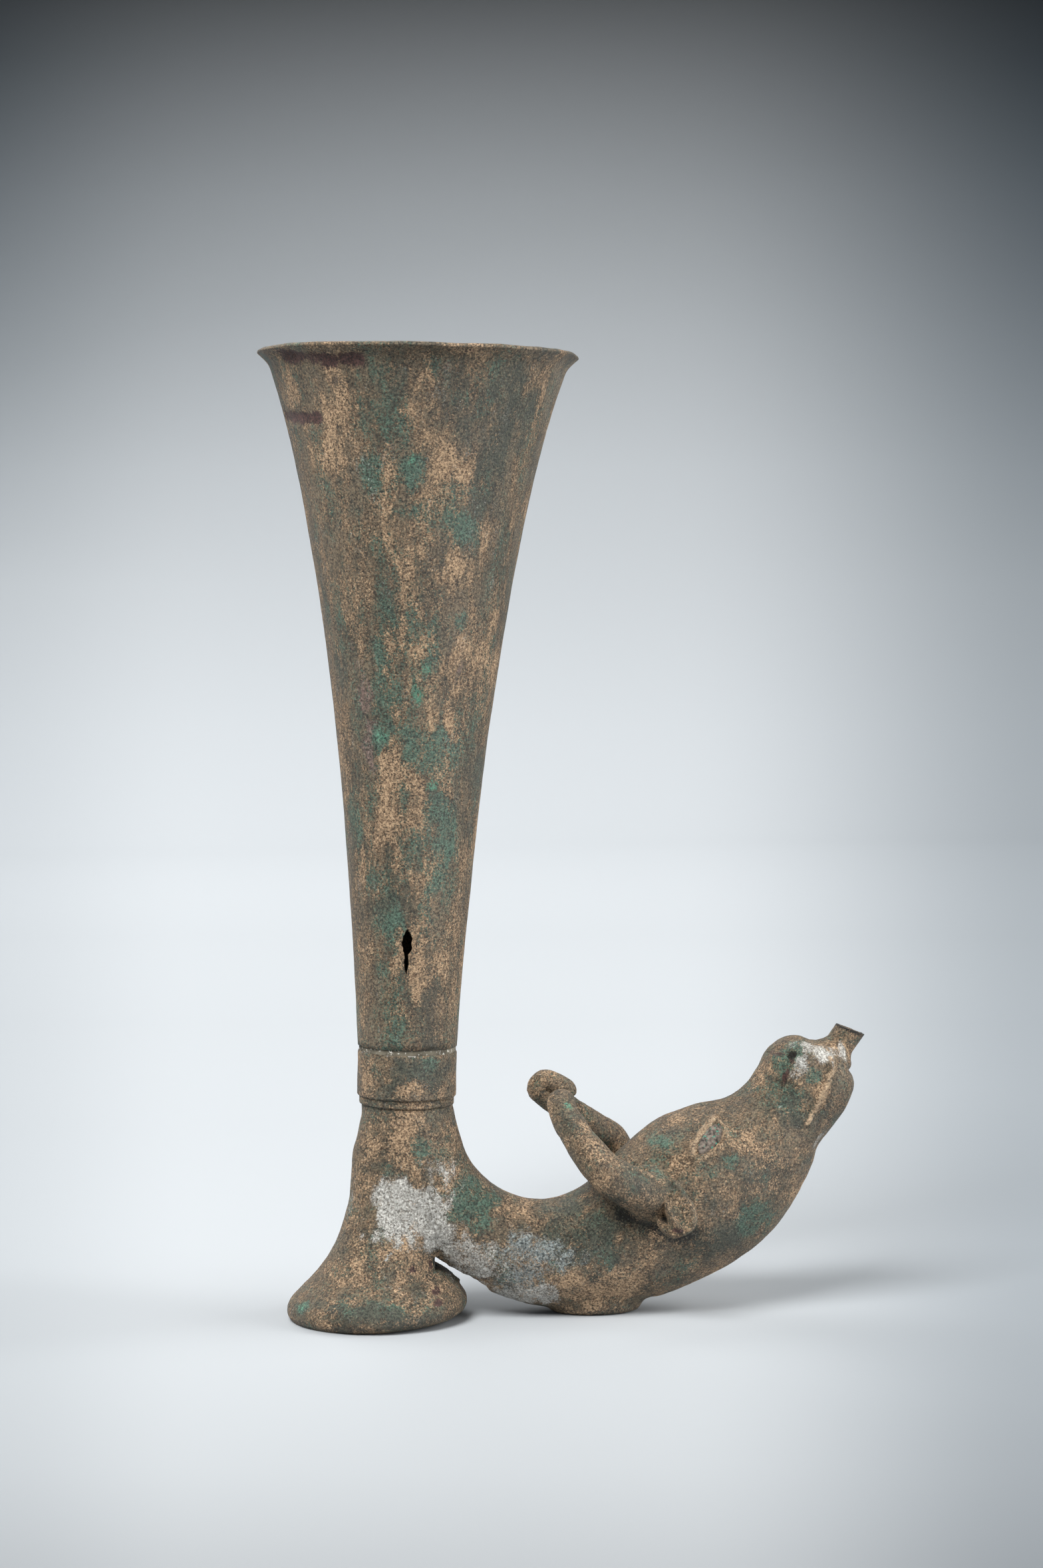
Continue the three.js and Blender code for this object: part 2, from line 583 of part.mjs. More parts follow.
// Foot: rings of the bell, the lower ones tipped up towards the front
const footLine = new THREE.CatmullRomCurve3(FOOT_RINGS.map((r) => vec(r.reach, r.halfWidth, r.z)));
const setBackLine = new THREE.CatmullRomCurve3(FOOT_RINGS.map((r) => vec(r.setBack, 0, r.z)));
const footTop = FOOT_RINGS[FOOT_RINGS.length - 1].z;
const footRadius = Math.max(...FOOT_RINGS.map((r) => r.reach));

function footRing(t, inset) {
  const size = footLine.getPoint(t);
  const slope = (FOOT_LIFT / (2 * footRadius)) * (1 - size.z / footTop);
  const ring = [];
  for (let j = 0; j < TURN_STEPS; j += 1) {
    const turn = (2 * Math.PI * j) / TURN_STEPS;
    const reach = (size.x - inset) * Math.cos(turn);
    const width = (size.y - inset) * Math.sin(turn);
    ring.push(vec(reach - setBackLine.getPoint(t).x, width, size.z + reach * slope));
  }
  return ring;
}

function bell(from, to, inset, fineness) {
  const steps = Math.round((to - from) * fineness * (FOOT_RINGS.length - 1));
  const rings = [];
  for (let i = 0; i <= steps; i += 1) {
    const share = from + ((to - from) * i) / steps;
    rings.push(footRing(share, inset(footLine.getPoint(share).z)));
  }
  return solid(loft(rings));
}

// Wall of the bell at a height: thick in the rim, thinner above
function footWall(extra) {
  return (z) => {
    const share = THREE.MathUtils.smoothstep(z, 0, FOOT_RIM_HEIGHT);
    return FOOT_RIM_WALL + (FOOT_WALL - FOOT_RIM_WALL) * share + extra;
  };
}

// Share of the foot line at which the bell reaches a height
function bellShare(height) {
  let share = 0;
  while (share < 1 && footLine.getPoint(share).z < height) {
    share += 0.002;
  }
  return share;
}

// Everything of the foot below a height, for cutting off
function below(top) {
  const side = 6 * footRadius;
  return solid(new THREE.BoxGeometry(side, side, side).translate(0, 0, top - side / 2));
}

function makeFoot() {
  const hollow = bell(0, bellShare(FOOT_HOLLOW_TOP), footWall(0), INNER_FINENESS).add(solid(loft([
    footRing(0, FOOT_RIM_WALL).map((p) => p.add(vec(0, 0, -FOOT_LIFT))),
    footRing(0.02, FOOT_RIM_WALL),
  ])));
  return bell(0, 1, () => 0, FOOT_FINENESS)
    .subtract(hollow)
    .subtract(keepOut)
    .subtract(below(0));
}

function makeLeadBed() {
  const fill = bell(0, bellShare(FOOT_HOLLOW_TOP) - 0.01, footWall(CLEARANCE), INNER_FINENESS);
  return fill.subtract(keepOut).subtract(below(LEAD_BED_BOTTOM));
}

function makePad() {
  const ring = (z, grow) => {
    const points = [];
    for (let j = 0; j < TURN_STEPS; j += 1) {
      const turn = (2 * Math.PI * j) / TURN_STEPS;
      const x = bendX + PAD_FRONT - PAD_LENGTH / 2 + (PAD_LENGTH / 2 + grow) * Math.cos(turn);
      points.push(vec(x, (PAD_WIDTH / 2 + grow) * Math.sin(turn), z));
    }
    return points;
  };
  const block = loft([ring(0, -PAD_EDGE), ring(PAD_EDGE, 0), ring(PAD_HEIGHT, PAD_FLARE)]);
  return solid(block).subtract(keepOut);
}

const assembly = new THREE.Group();
assembly.name = 'assembly';

function place(name, body, look) {
  const mesh = new THREE.Mesh(surface(body), new THREE.MeshStandardMaterial(look));
  mesh.name = name;
  assembly.add(mesh);
}

place('beaker', makeBeaker(), bronzeLook);
place('collar', makeCollar(), bronzeLook);
place('upper_collar_solder', makeSolderRing(upperSolderZ), solderLook);
place('lower_collar_solder', makeSolderRing(lowerSolderZ), solderLook);
place('elbow', makeElbow(), bronzeLook);
place('foot', makeFoot(), bronzeLook);
place('foot_lead_bed', makeLeadBed(), solderLook);
place('chest_pad', makePad(), bronzeLook);
place('head', makeHead(), bronzeLook);
place('spout', makeSpout(), bronzeLook);
place('right_horn', makeRightHorn(), bronzeLook);
place('left_horn', makeLeftHorn(), bronzeLook);
place('right_ear', makeEar(-1, rightHornSweep(CLEARANCE)), bronzeLook);
place('left_ear', makeEar(1, leftHornSweep(CLEARANCE)), bronzeLook);
place('right_eye', eyeBody(-1, 0), inlayLook);
place('left_eye', eyeBody(1, 0), inlayLook);

// The frame's origin is the middle of the box on the table
const box = new THREE.Box3().setFromObject(assembly);
assembly.position.set(-(box.min.x + box.max.x) / 2, -(box.min.y + box.max.y) / 2, -box.min.z);

const rhyton = new THREE.Group();
rhyton.name = 'bronze_rhyton';
rhyton.add(assembly);

export default rhyton;
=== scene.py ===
# %% [markdown]
# # A bronze rhyton with a bull's head
# This is a pouring horn of buried bronze: a raised beaker stands on a cast bend that runs forward into a
# bull's head with a spout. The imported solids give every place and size. The lesson dresses them: first the
# stage, then the pieces from the lip down to the muzzle, and last the crust that the ground has left on them.

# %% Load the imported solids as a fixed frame
import math
import statistics

import bpy
import numpy as np
from mathutils import Matrix, Vector, noise


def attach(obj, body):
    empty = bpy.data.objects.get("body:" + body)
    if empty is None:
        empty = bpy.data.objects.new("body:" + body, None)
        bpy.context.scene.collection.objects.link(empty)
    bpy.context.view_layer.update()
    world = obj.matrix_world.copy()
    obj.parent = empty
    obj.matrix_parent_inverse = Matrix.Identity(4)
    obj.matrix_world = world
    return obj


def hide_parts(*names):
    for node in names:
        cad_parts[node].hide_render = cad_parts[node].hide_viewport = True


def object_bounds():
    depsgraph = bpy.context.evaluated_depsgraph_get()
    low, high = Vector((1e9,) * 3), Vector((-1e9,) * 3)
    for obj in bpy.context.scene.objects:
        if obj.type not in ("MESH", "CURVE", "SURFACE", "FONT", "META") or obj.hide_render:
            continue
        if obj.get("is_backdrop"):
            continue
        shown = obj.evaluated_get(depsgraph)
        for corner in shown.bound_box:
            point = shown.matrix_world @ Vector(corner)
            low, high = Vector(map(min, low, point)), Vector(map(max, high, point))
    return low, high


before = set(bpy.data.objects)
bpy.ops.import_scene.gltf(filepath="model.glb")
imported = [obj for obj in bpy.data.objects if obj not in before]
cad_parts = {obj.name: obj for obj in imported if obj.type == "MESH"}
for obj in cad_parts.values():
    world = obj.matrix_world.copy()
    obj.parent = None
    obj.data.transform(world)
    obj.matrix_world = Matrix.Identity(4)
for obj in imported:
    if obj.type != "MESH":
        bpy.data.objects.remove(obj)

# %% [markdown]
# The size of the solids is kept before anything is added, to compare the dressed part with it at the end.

cad_low, cad_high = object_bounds()
print("solids:", ", ".join(sorted(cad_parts)))
print("their size in mm:", [round(1000 * side, 1) for side in cad_high - cad_low])

# %% [markdown]
# The rhyton's sizes are easiest to say in millimetres from the axis of its neck and from the table. Blender
# works in metres and the frame has its origin under the middle of the part, so one function turns one into
# the other.

# %% Units and places
MM = 0.001
NECK_X = -48.991


def place(points):
    """Points in mm from the neck's axis and the table, as metres in the part's frame."""
    return (np.asarray(points, float) + (NECK_X, 0, 0)) * MM


print("the neck's axis in the frame: x =", NECK_X, "mm")

# %% [markdown]
# ## The stage
# The horn was photographed on a pale paper sweep with a long lens, from a little left of its side. A camera
# needs a spot, a direction and a lens. All three are known here, so nothing is aimed by eye.

# %% Camera
CAMERA_SPOT = (-0.15371, -0.99531, 0.22133)
LOOK = Vector((0.13893, 0.98853, -0.05920))
LENS, SENSOR = 76.37, 36
bpy.ops.object.select_all(action="DESELECT")
bpy.ops.object.camera_add(location=CAMERA_SPOT, rotation=LOOK.to_track_quat("-Z", "Y").to_euler())
camera = bpy.context.object
camera.data.lens = LENS
camera.data.sensor_width = SENSOR
bpy.context.scene.camera = camera
bpy.context.scene.view_settings.view_transform = "Standard"
print("camera lens in mm:", round(camera.data.lens, 1))

# %% [markdown]
# A paper sweep is one sheet that runs along the table and then curves up behind. A plane gives the table, a
# quarter spin of its back edge gives the curve, and one extrusion gives the wall. It stands far enough back
# for a camera to walk all round the horn.

# %% Floor and backdrop
def named(name):
    """The object that an operator has just added, with a name for it and for its data."""
    piece = bpy.context.object
    piece.name = piece.data.name = name
    return piece


FLOOR_SIDE = 12
FLOOR_BACK = 1.8
SWEEP_RADIUS = 0.8
WALL_HEIGHT = 4.0
bpy.ops.object.select_all(action="DESELECT")
bpy.ops.mesh.primitive_plane_add(size=FLOOR_SIDE, location=(0, FLOOR_BACK - FLOOR_SIDE / 2, 0))
sweep = named("paper_sweep")
bpy.ops.object.transform_apply(location=True)
for vertex in sweep.data.vertices:
    vertex.select = vertex.co.y > FLOOR_BACK - 0.01
for edge in sweep.data.edges:
    edge.select = all(sweep.data.vertices[v].select for v in edge.vertices)
for face in sweep.data.polygons:
    face.select = False
bpy.ops.object.mode_set(mode="EDIT")
bpy.ops.mesh.select_mode(type="EDGE")
bpy.ops.mesh.spin(steps=32, angle=-math.pi / 2, center=(0, FLOOR_BACK, SWEEP_RADIUS), axis=(1, 0, 0))
bpy.ops.mesh.extrude_edges_move(TRANSFORM_OT_translate={"value": (0, 0, WALL_HEIGHT)})
bpy.ops.mesh.select_all(action="SELECT")
bpy.ops.mesh.normals_make_consistent(inside=False)
bpy.ops.object.mode_set(mode="OBJECT")
bpy.ops.object.shade_smooth()
sweep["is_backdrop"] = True
print("sweep faces:", len(sweep.data.polygons))

# %% [markdown]
# Nodes draw the sky here, and later every finish. One small function adds a node with its fields, values and
# links, and hands back the output that the next node takes. Colours are written as on a paint card, and one
# function turns them to linear light.

# %% Colours and nodes
def paint(card):
    """A colour card such as 7e7a69 as linear red, green, blue and alpha."""
    parts = [int(card[k:k + 2], 16) / 255 for k in (0, 2, 4)]
    return (*[p / 12.92 if p <= 0.04045 else ((p + 0.055) / 1.055) ** 2.4 for p in parts], 1)


def add(tree, kind, sockets=None, give=None, **fields):
    """Adds a node, sets its fields, sets or links its sockets, and gives its first live or a named output."""
    node = tree.nodes.new("ShaderNode" + kind)
    for field, value in fields.items():
        setattr(node, field, value)
    for key, value in (sockets or {}).items():
        if isinstance(value, bpy.types.NodeSocket):
            tree.links.new(value, node.inputs[key])
        else:
            node.inputs[key].default_value = value
    return node.outputs[give] if give else next(output for output in node.outputs if output.enabled)


print("a card of mid grey in linear light:", round(paint("808080")[0], 3))

# %% [markdown]
# The light is a broad soft box high on the left, a weaker one on the right that keeps the shadow side
# readable, a faint one behind, and an even grey sky. Their sum on a white card is about one, so a colour
# renders about as it is written. To the eye, straight on or in a shine, the sky is paler than the light it
# gives.

# %% Lamps and sky
AIM = Vector((0, 0, 0.13))
# name, place and side in metres, power in watts
LAMPS = (
    ("key_box", (-0.9, -1.05, 1.75), 1.1, 72),
    ("fill_box", (1.65, -0.25, 0.75), 1.4, 45),
    ("back_box", (-0.5, 1.35, 1.5), 1.4, 20),
)
for name, spot, side, watts in LAMPS:
    turn = (AIM - Vector(spot)).to_track_quat("-Z", "Y").to_euler()
    bpy.ops.object.light_add(type="AREA", location=spot, rotation=turn)
    lamp = named(name)
    lamp.data.size = side
    lamp.data.energy = watts
    print(name, watts, "W")
SKY_LIGHT, SKY_SEEN = paint("8e9295"), paint("bfc2c5")


def seen_rays(tree):
    """1 for the rays that the eye follows, straight on or by way of a shine, and 0 for the rest."""
    path = add(tree, "LightPath").node.outputs
    seen = path["Is Camera Ray"]
    for other in ("Is Glossy Ray", "Is Transmission Ray"):
        seen = add(tree, "Math", {0: seen, 1: path[other]}, operation="MAXIMUM")
    return seen


sky = bpy.data.worlds.new("grey_sky")
sky.use_nodes = True
bpy.context.scene.world = sky
tree = sky.node_tree
choice = add(tree, "Mix", {0: seen_rays(tree), 6: SKY_LIGHT, 7: SKY_SEEN}, data_type="RGBA")
tree.links.new(choice, tree.nodes["Background"].inputs["Color"])
print("sky nodes:", len(tree.nodes))

# %% [markdown]
# ## Tools for shaping
# Most of the horn is a skin drawn over ribs, as a sculptor would build it in wax. By hand one would extrude
# ring after ring. It is quicker to roll up a flat grid: each row of the grid is laid on one ring, the seam is
# welded and both ends are filled. A smooth line through a few knots gives the rings between the ribs.

# %% A line through knots, and a grid rolled on rings
WELD = 0.01 * MM


def through(knots, places):
    """Points of a smooth line through the knots: place 2.5 is halfway from knot 2 to knot 3."""
    knots = np.asarray(knots, float)
    places = np.asarray(places, float)
    padded = np.vstack([2 * knots[0] - knots[1], knots, 2 * knots[-1] - knots[-2]])
    first = np.clip(np.floor(places).astype(int), 0, len(knots) - 2)
    share = (places - first)[:, None]
    a, b, c, d = (padded[first + k] for k in range(4))
    before, middle, after = (
        np.maximum(np.linalg.norm(q - p, axis=1, keepdims=True), 1e-6) ** 0.5
        for p, q in ((a, b), (b, c), (c, d))
    )
    leaving = middle * ((b - a) / before - (c - a) / (before + middle)) + c - b
    arriving = middle * ((d - c) / after - (d - b) / (middle + after)) + c - b
    bend = 3 * (c - b) - 2 * leaving - arriving
    twist = 2 * (b - c) + leaving + arriving
    return b + share * (leaving + share * (bend + share * twist))


def move_points(piece, points):
    """Sets a piece's points, in mm."""
    piece.data.vertices.foreach_set("co", place(points).astype(np.float32).ravel())
    piece.data.update()


def rolled(name, rings):
    """A closed skin over rings of points in mm, from a flat grid that is rolled up."""
    rows, sides = rings.shape[:2]
    bpy.ops.object.select_all(action="DESELECT")
    bpy.ops.mesh.primitive_grid_add(x_subdivisions=sides, y_subdivisions=rows - 1)
    piece = named(name)
    move_points(piece, np.concatenate([rings, rings[:, :1]], axis=1).reshape(-1, 3))
    bpy.ops.object.mode_set(mode="EDIT")
    bpy.ops.mesh.select_all(action="SELECT")
    bpy.ops.mesh.remove_doubles(threshold=WELD)
    bpy.ops.mesh.fill_holes(sides=0)
    bpy.ops.mesh.normals_make_consistent(inside=False)
    bpy.ops.object.mode_set(mode="OBJECT")
    return piece


print("halfway on a line through 0, 1 and 4:", through([[0], [1], [4]], [1.0, 1.5]).round(2).ravel())

# %% [markdown]
# Old metal is never smooth. Casting, hammering and corrosion leave lumps of several sizes, and a sculptor
# adds ridges, grooves and pits. All of these move points along the surface's own direction by a number of
# millimetres, so they are small functions that give that number for every point.

# %% Lumps, ridges and dents
def read(piece, field):
    """One field of all points of a piece, as rows of three numbers."""
    found = np.empty(3 * len(piece.data.vertices), np.float32)
    piece.data.vertices.foreach_get(field, found)
    return found.reshape(-1, 3)


def points_of(piece):
    """A piece's points, in mm."""
    return read(piece, "co").astype(float) / MM - (NECK_X, 0, 0)


def push(piece, amount):
    """Moves a piece's points along the surface's direction, by an amount in mm for each point."""
    move_points(piece, points_of(piece) + read(piece, "normal") * np.asarray(amount)[:, None])


def lumps(points, size, seed):
    """Soft random lumps of a size in mm, from about -1 to 1, at each point."""
    shift = Vector((31.7 * seed, -17.3 * seed, 7.9 * seed))
    return np.array([noise.noise(Vector(p) / size + shift) for p in points])


def lumpy(points, *waves):
    """Lumps of several sizes in one sum: a height in mm, a size in mm and a seed for each."""
    return sum(height * lumps(points, size, seed) for height, size, seed in waves)


def reach(points, way):
    """The distance of each point from a line through way points, in mm."""
    way = np.asarray(way, float)
    nearest = np.full(len(points), 1e9)
    for start, end in zip(way[:-1], way[1:]):
        along = end - start
        share = np.clip((points - start) @ along / max(along @ along, 1e-6), 0, 1)
        nearest = np.minimum(nearest, np.linalg.norm(points - start - share[:, None] * along, axis=1))
    return nearest


def swell(distance, radius):
    """A soft hill: 1 where the distance is 0, about a third at the radius, nothing far away."""
    return np.exp(-((distance / radius) ** 2))


print("a hill of radius 2 mm at 0, 2 and 4 mm:", swell(np.array((0, 2, 4)), 2).round(2))

# %% [markdown]
# Operators and modifiers work on the piece that is selected. Three small functions see to that: one applies a
# modifier, one cuts a tool's volume out of a piece, and one shades a finished piece smooth.

# %% Modifiers, cuts and smooth shading
def only(piece):
    """Makes a piece the one selected and active object."""
    bpy.ops.object.select_all(action="DESELECT")
    piece.select_set(True)
    bpy.context.view_layer.objects.active = piece


def apply_modifier(piece, kind, **settings):
    """Adds a modifier, sets it and applies it."""
    modifier = piece.modifiers.new(kind.lower(), kind)
    for field, value in settings.items():
        setattr(modifier, field, value)
    only(piece)
    bpy.ops.object.modifier_apply(modifier=modifier.name)


def cut(piece, tool):
    """Takes the tool's volume away from a piece, and removes the tool."""
    apply_modifier(piece, "BOOLEAN", object=tool, operation="DIFFERENCE", solver="EXACT")
    bpy.data.objects.remove(tool)


def smooth(piece):
    """Shades a piece smooth and says how many faces it has."""
    only(piece)
    bpy.ops.object.shade_smooth()
    print(piece.name, "faces:", len(piece.data.polygons))


# %% [markdown]
# ## The beaker
# The beaker was raised from sheet with a hammer: one wall, a thin beaded lip, slightly out of round. A
# lathe-like spin of a drawn profile is the natural way. The profile is one closed Bezier outline, out along
# the outside, round the bead and back down the inside, and it is spun about the column, which leans forward
# by one degree.

# %% Spin the wall of the beaker
COLUMN_FOOT = (0, 0, 66.2)
COLUMN_LEAN = math.radians(1)
UP_COLUMN = np.array((math.sin(COLUMN_LEAN), 0, math.cos(COLUMN_LEAN)))
BEAKER_RISE = 16.9
# radius and height of each knot, then of the handles before and after it
BEAKER_OUTLINE = (
    ((14.9, 0), (14.4, 0), (19.9, 90)),
    ((44, 202.2), (30.4, 162), (44.9, 204.8)),
    ((47.9, 207.0), (47.1, 206.2), (48.2, 207.4)),
    ((46.9, 208.1), (47.6, 208.1), (46.0, 208.1)),
    ((42.4, 202.7), (43.6, 206.4), (28.8, 162.3)),
    ((13.2, 0), (18.2, 90), (13.7, 0)),
)
OUTLINE_STEPS, SPIN_STEPS = 32, 192
bpy.ops.object.select_all(action="DESELECT")
bpy.ops.curve.primitive_bezier_curve_add()
outline = bpy.context.object
outline.data.resolution_u = OUTLINE_STEPS
spline = outline.data.splines[0]
spline.resolution_u = OUTLINE_STEPS
spline.use_cyclic_u = True
spline.bezier_points.add(len(BEAKER_OUTLINE) - 2)
for knot, (spot, before, after) in zip(spline.bezier_points, BEAKER_OUTLINE):
    knot.handle_left_type = knot.handle_right_type = "FREE"
    for field, (radius, height) in (("co", spot), ("handle_left", before), ("handle_right", after)):
        setattr(knot, field, Vector((radius, 0, height + BEAKER_RISE)) * MM)
outline.location = place(COLUMN_FOOT)
outline.rotation_euler = (0, COLUMN_LEAN, 0)
bpy.ops.object.convert(target="MESH")
bpy.ops.object.transform_apply(location=True, rotation=True, scale=True)
beaker = named("beaker_wall")
LONGEST_STEP = 2.5
for edge in beaker.data.edges:
    start, end = (beaker.data.vertices[v].co for v in edge.vertices)
    edge.select = (end - start).length > LONGEST_STEP * MM
bpy.ops.object.mode_set(mode="EDIT")
bpy.ops.mesh.select_mode(type="EDGE")
bpy.ops.mesh.subdivide(number_cuts=3)
bpy.ops.mesh.select_all(action="SELECT")
bpy.ops.mesh.spin(steps=SPIN_STEPS, angle=2 * math.pi, center=place(COLUMN_FOOT), axis=UP_COLUMN)
bpy.ops.mesh.select_all(action="SELECT")
bpy.ops.mesh.remove_doubles(threshold=WELD)
bpy.ops.mesh.normals_make_consistent(inside=False)
bpy.ops.object.mode_set(mode="OBJECT")
print("beaker faces:", len(beaker.data.polygons))

# %% [markdown]
# The wall has a split low on the visible side: a pointed opening with a thin tail. A spindle with a ragged
# edge is cut out of the wall. Then the hammer's slow waves, the nicks of the worn lip and the two places
# where the crust has flaked off are pushed into the surface.

# %% Split, flakes and hammering
SPLIT_WAY = [
    (-1.3, -17, 119.8), (-1.5, -17, 116.6), (-1.5, -17, 113.6), (-1.6, -17, 111.6), (-1.7, -17, 109.6),
    (-1.7, -17, 106),
]
SPLIT_HALF_WIDTH = [0.15, 1.5, 1.35, 0.55, 0.75, 0.1]
SIDEWAYS, THROUGH_WALL = np.array((1, 0, 0)), np.array((0, 8, 0))
steps = np.linspace(0, len(SPLIT_WAY) - 1, 40)
line = through(SPLIT_WAY, steps)
half = through(np.array(SPLIT_HALF_WIDTH)[:, None], steps)[:, 0]
ragged = lumpy(line, (0.35, 0.9, 3))
edge_left = line - np.outer(half + ragged, SIDEWAYS)
edge_right = line + np.outer(half - ragged, SIDEWAYS)
rim = np.concatenate([edge_left, edge_right[::-1]])
cut(beaker, rolled("split", np.stack([rim - THROUGH_WALL, rim + THROUGH_WALL])))

LIP_FLAKE = [
    (-44.5, -8, 288), (-40, -17, 287.8), (-36, -22, 287.6), (-30, -29.2, 286.8), (-24.5, -34.3, 286.4),
    (-18.4, -38.6, 286.6),
]
WALL_FLAKE = [(-36.5, -4, 271.6), (-34.5, -12, 271.2), (-30, -20, 270.8), (-28, -23.5, 270.5)]
FLAKE_DEPTH = 0.45
LIP_FROM, LIP_FULL = 198, 206
points = points_of(beaker)
height = (points - COLUMN_FOOT) @ UP_COLUMN - BEAKER_RISE
lip = np.clip((height - LIP_FROM) / (LIP_FULL - LIP_FROM), 0, 1)
flakes = swell(reach(points, LIP_FLAKE), 2.6) + swell(reach(points, WALL_FLAKE), 2.3)
hammering = lumpy(points, (0.22, 34, 1), (0.1, 9, 2))
grains = lumpy(points, (0.05, 2.2, 4))
push(beaker, grains - FLAKE_DEPTH * np.clip(1.6 * flakes - 0.5, 0, 1))
points = points_of(beaker)
outward = points * (1, 1, 0)
outward /= np.maximum(np.linalg.norm(outward, axis=1, keepdims=True), 1e-6)
nicks = lumpy(points * (1, 1, 0.2), (0.35, 21, 5)) + lumpy(points * (1, 1, 0.3), (0.2, 7, 6))
move_points(beaker, points + outward * hammering[:, None] + np.outer(lip * nicks, UP_COLUMN))
smooth(beaker)
print("beaker height in mm:", round(np.ptp(points[:, 2]), 1))

# %% [markdown]
# ## Collar and filler
# A plain band hides the joint between beaker and casting, with a line of filler above and below it. A circle
# extruded in small steps gives the band, Solidify its wall and Bevel its worn edges. The same steps with
# other sizes give the two filler lines, so they are one function.

# %% Turn the collar and the two filler rings
def turned_ring(name, radius, bottom, tall, wall, edge, steps):
    """A band round the column, all in mm: bottom is its height above the neck's shoulder."""
    bpy.ops.object.select_all(action="DESELECT")
    bpy.ops.mesh.primitive_circle_add(vertices=176, radius=radius * MM, location=(0, 0, bottom * MM))
    ring = named(name)
    bpy.ops.object.mode_set(mode="EDIT")
    bpy.ops.mesh.select_all(action="SELECT")
    for _ in range(steps):
        bpy.ops.mesh.extrude_edges_move(TRANSFORM_OT_translate={"value": (0, 0, tall / steps * MM)})
    bpy.ops.mesh.select_all(action="SELECT")
    bpy.ops.mesh.normals_make_consistent(inside=False)
    bpy.ops.object.mode_set(mode="OBJECT")
    bpy.ops.object.transform_apply(location=True)
    apply_modifier(ring, "SOLIDIFY", thickness=wall * MM, offset=-1)
    apply_modifier(ring, "BEVEL", width=edge * MM, segments=3, limit_method="ANGLE")
    ring.data.transform(Matrix.Translation(place(COLUMN_FOOT)) @ Matrix.Rotation(COLUMN_LEAN, 4, "Y"))
    push(ring, lumpy(points_of(ring), (0.14, 7, 11), (0.06, 2.2, 12)))
    smooth(ring)
    return ring


collar = turned_ring("collar_band", 14.95, bottom=1.6, tall=13.7, wall=1.7, edge=0.55, steps=16)
upper_filler = turned_ring("upper_filler_line", 14.6, bottom=15.1, tall=2.0, wall=1.4, edge=0.2, steps=3)
lower_filler = turned_ring("lower_filler_line", 14.3, bottom=-0.9, tall=2.8, wall=1.0, edge=0.5, steps=4)

# %% [markdown]
# ## The skin of bend and bull
# From the collar to the lips the horn is one hollow skin. Eighteen ribs carry it: each has a point on the
# crown line, a point on the throat line, a half width, and how much wider it is above than below. The first
# six follow the arc of the bend, the rest are the bull's chest, brow, nose and lips.

# %% Ribs of the skin
BEND_X, BEND_Z, BEND_RADIUS = 42.3, 61.6, 26.9
NECK_RADIUS, ARM_DEPTH, ARM_HALF = 13.9, 32.9, 15.2
neck_x = NECK_RADIUS * math.cos(COLUMN_LEAN)
neck_z = NECK_RADIUS * math.sin(COLUMN_LEAN)
ribs = [(neck_x, COLUMN_FOOT[2] - neck_z, -neck_x, COLUMN_FOOT[2] + neck_z, NECK_RADIUS, 0)]
for degrees in (12, 30, 48, 66, 90):
    grown = (degrees / 90) ** 3
    deep = BEND_RADIUS + 2 * NECK_RADIUS + (ARM_DEPTH - 2 * NECK_RADIUS) * grown
    aside, down = math.cos(math.radians(degrees)), math.sin(math.radians(degrees))
    ribs.append((
        BEND_X - BEND_RADIUS * aside, BEND_Z - BEND_RADIUS * down, BEND_X - deep * aside,
        BEND_Z - deep * down, NECK_RADIUS + (ARM_HALF - NECK_RADIUS) * grown, 0,
    ))
# crown x and z, throat x and z (x from the bottom of the bend), half width, brow
BULL_RIBS = (
    (10.3, 37.5, 18.5, 2.4, 17, 0), (17.1, 42.6, 34.5, 4.2, 18.5, 0.02), (24.9, 50.4, 45.8, 8.2, 20, 0.05),
    (35, 58.3, 58.3, 14.2, 20.5, 0.08), (47, 62.6, 69.7, 22.7, 19.5, 0.1), (56.6, 64.6, 77.7, 33.5, 17, 0.1),
    (62.6, 68.5, 83.7, 44.9, 15, 0.06), (66.9, 74.3, 88.8, 54.6, 14.4, 0.02), (71.2, 80, 93.6, 61.3, 13.8, 0),
    (75.9, 83, 95.9, 68.3, 12.2, 0), (81.2, 83.6, 95.5, 73.2, 9.2, 0), (85.3, 82.4, 94.6, 75.4, 5.6, 0),
)
ribs = np.array(ribs + [(a + BEND_X, b, c + BEND_X, d, e, f) for a, b, c, d, e, f in BULL_RIBS])


def skin(places, turns, inset=0):
    """Rings of the skin at rib numbers and at turns from the crown, moved inwards by the inset in mm."""
    crown, throat, breadth = (through(ribs[:, k:k + 2], places) for k in (0, 2, 4))
    inset = np.broadcast_to(inset, len(places))[:, None]
    half = (crown - throat) / 2
    half *= 1 - inset / np.linalg.norm(half, axis=1, keepdims=True)
    middle = (crown + throat) / 2
    rise = np.cos(turns)[None, :]
    across = (breadth[:, :1] - inset) * (1 + breadth[:, 1:] * rise) * np.sin(turns)[None, :]
    x = middle[:, :1] + half[:, :1] * rise
    z = middle[:, 1:] + half[:, 1:] * rise
    return np.stack([x, across, z], axis=2)


def round_turns(sides):
    """Equal turns round a ring, from the crown."""
    return np.linspace(0, 2 * math.pi, sides, endpoint=False)


SEAM_RIB, LAST_RIB = 7, len(ribs) - 1
print("ribs:", len(ribs), "of which the bull has", len(BULL_RIBS))

# %% [markdown]
# ## Bend, foot and pad
# On the real horn the bend, the bell foot and the pad under the chest read as one flush cast skin. So each is
# rolled up by itself, they are joined, and Voxel Remesh melts the overlaps into one surface. Smoothing it
# many times gives the soft fillet that wax leaves where two parts meet.

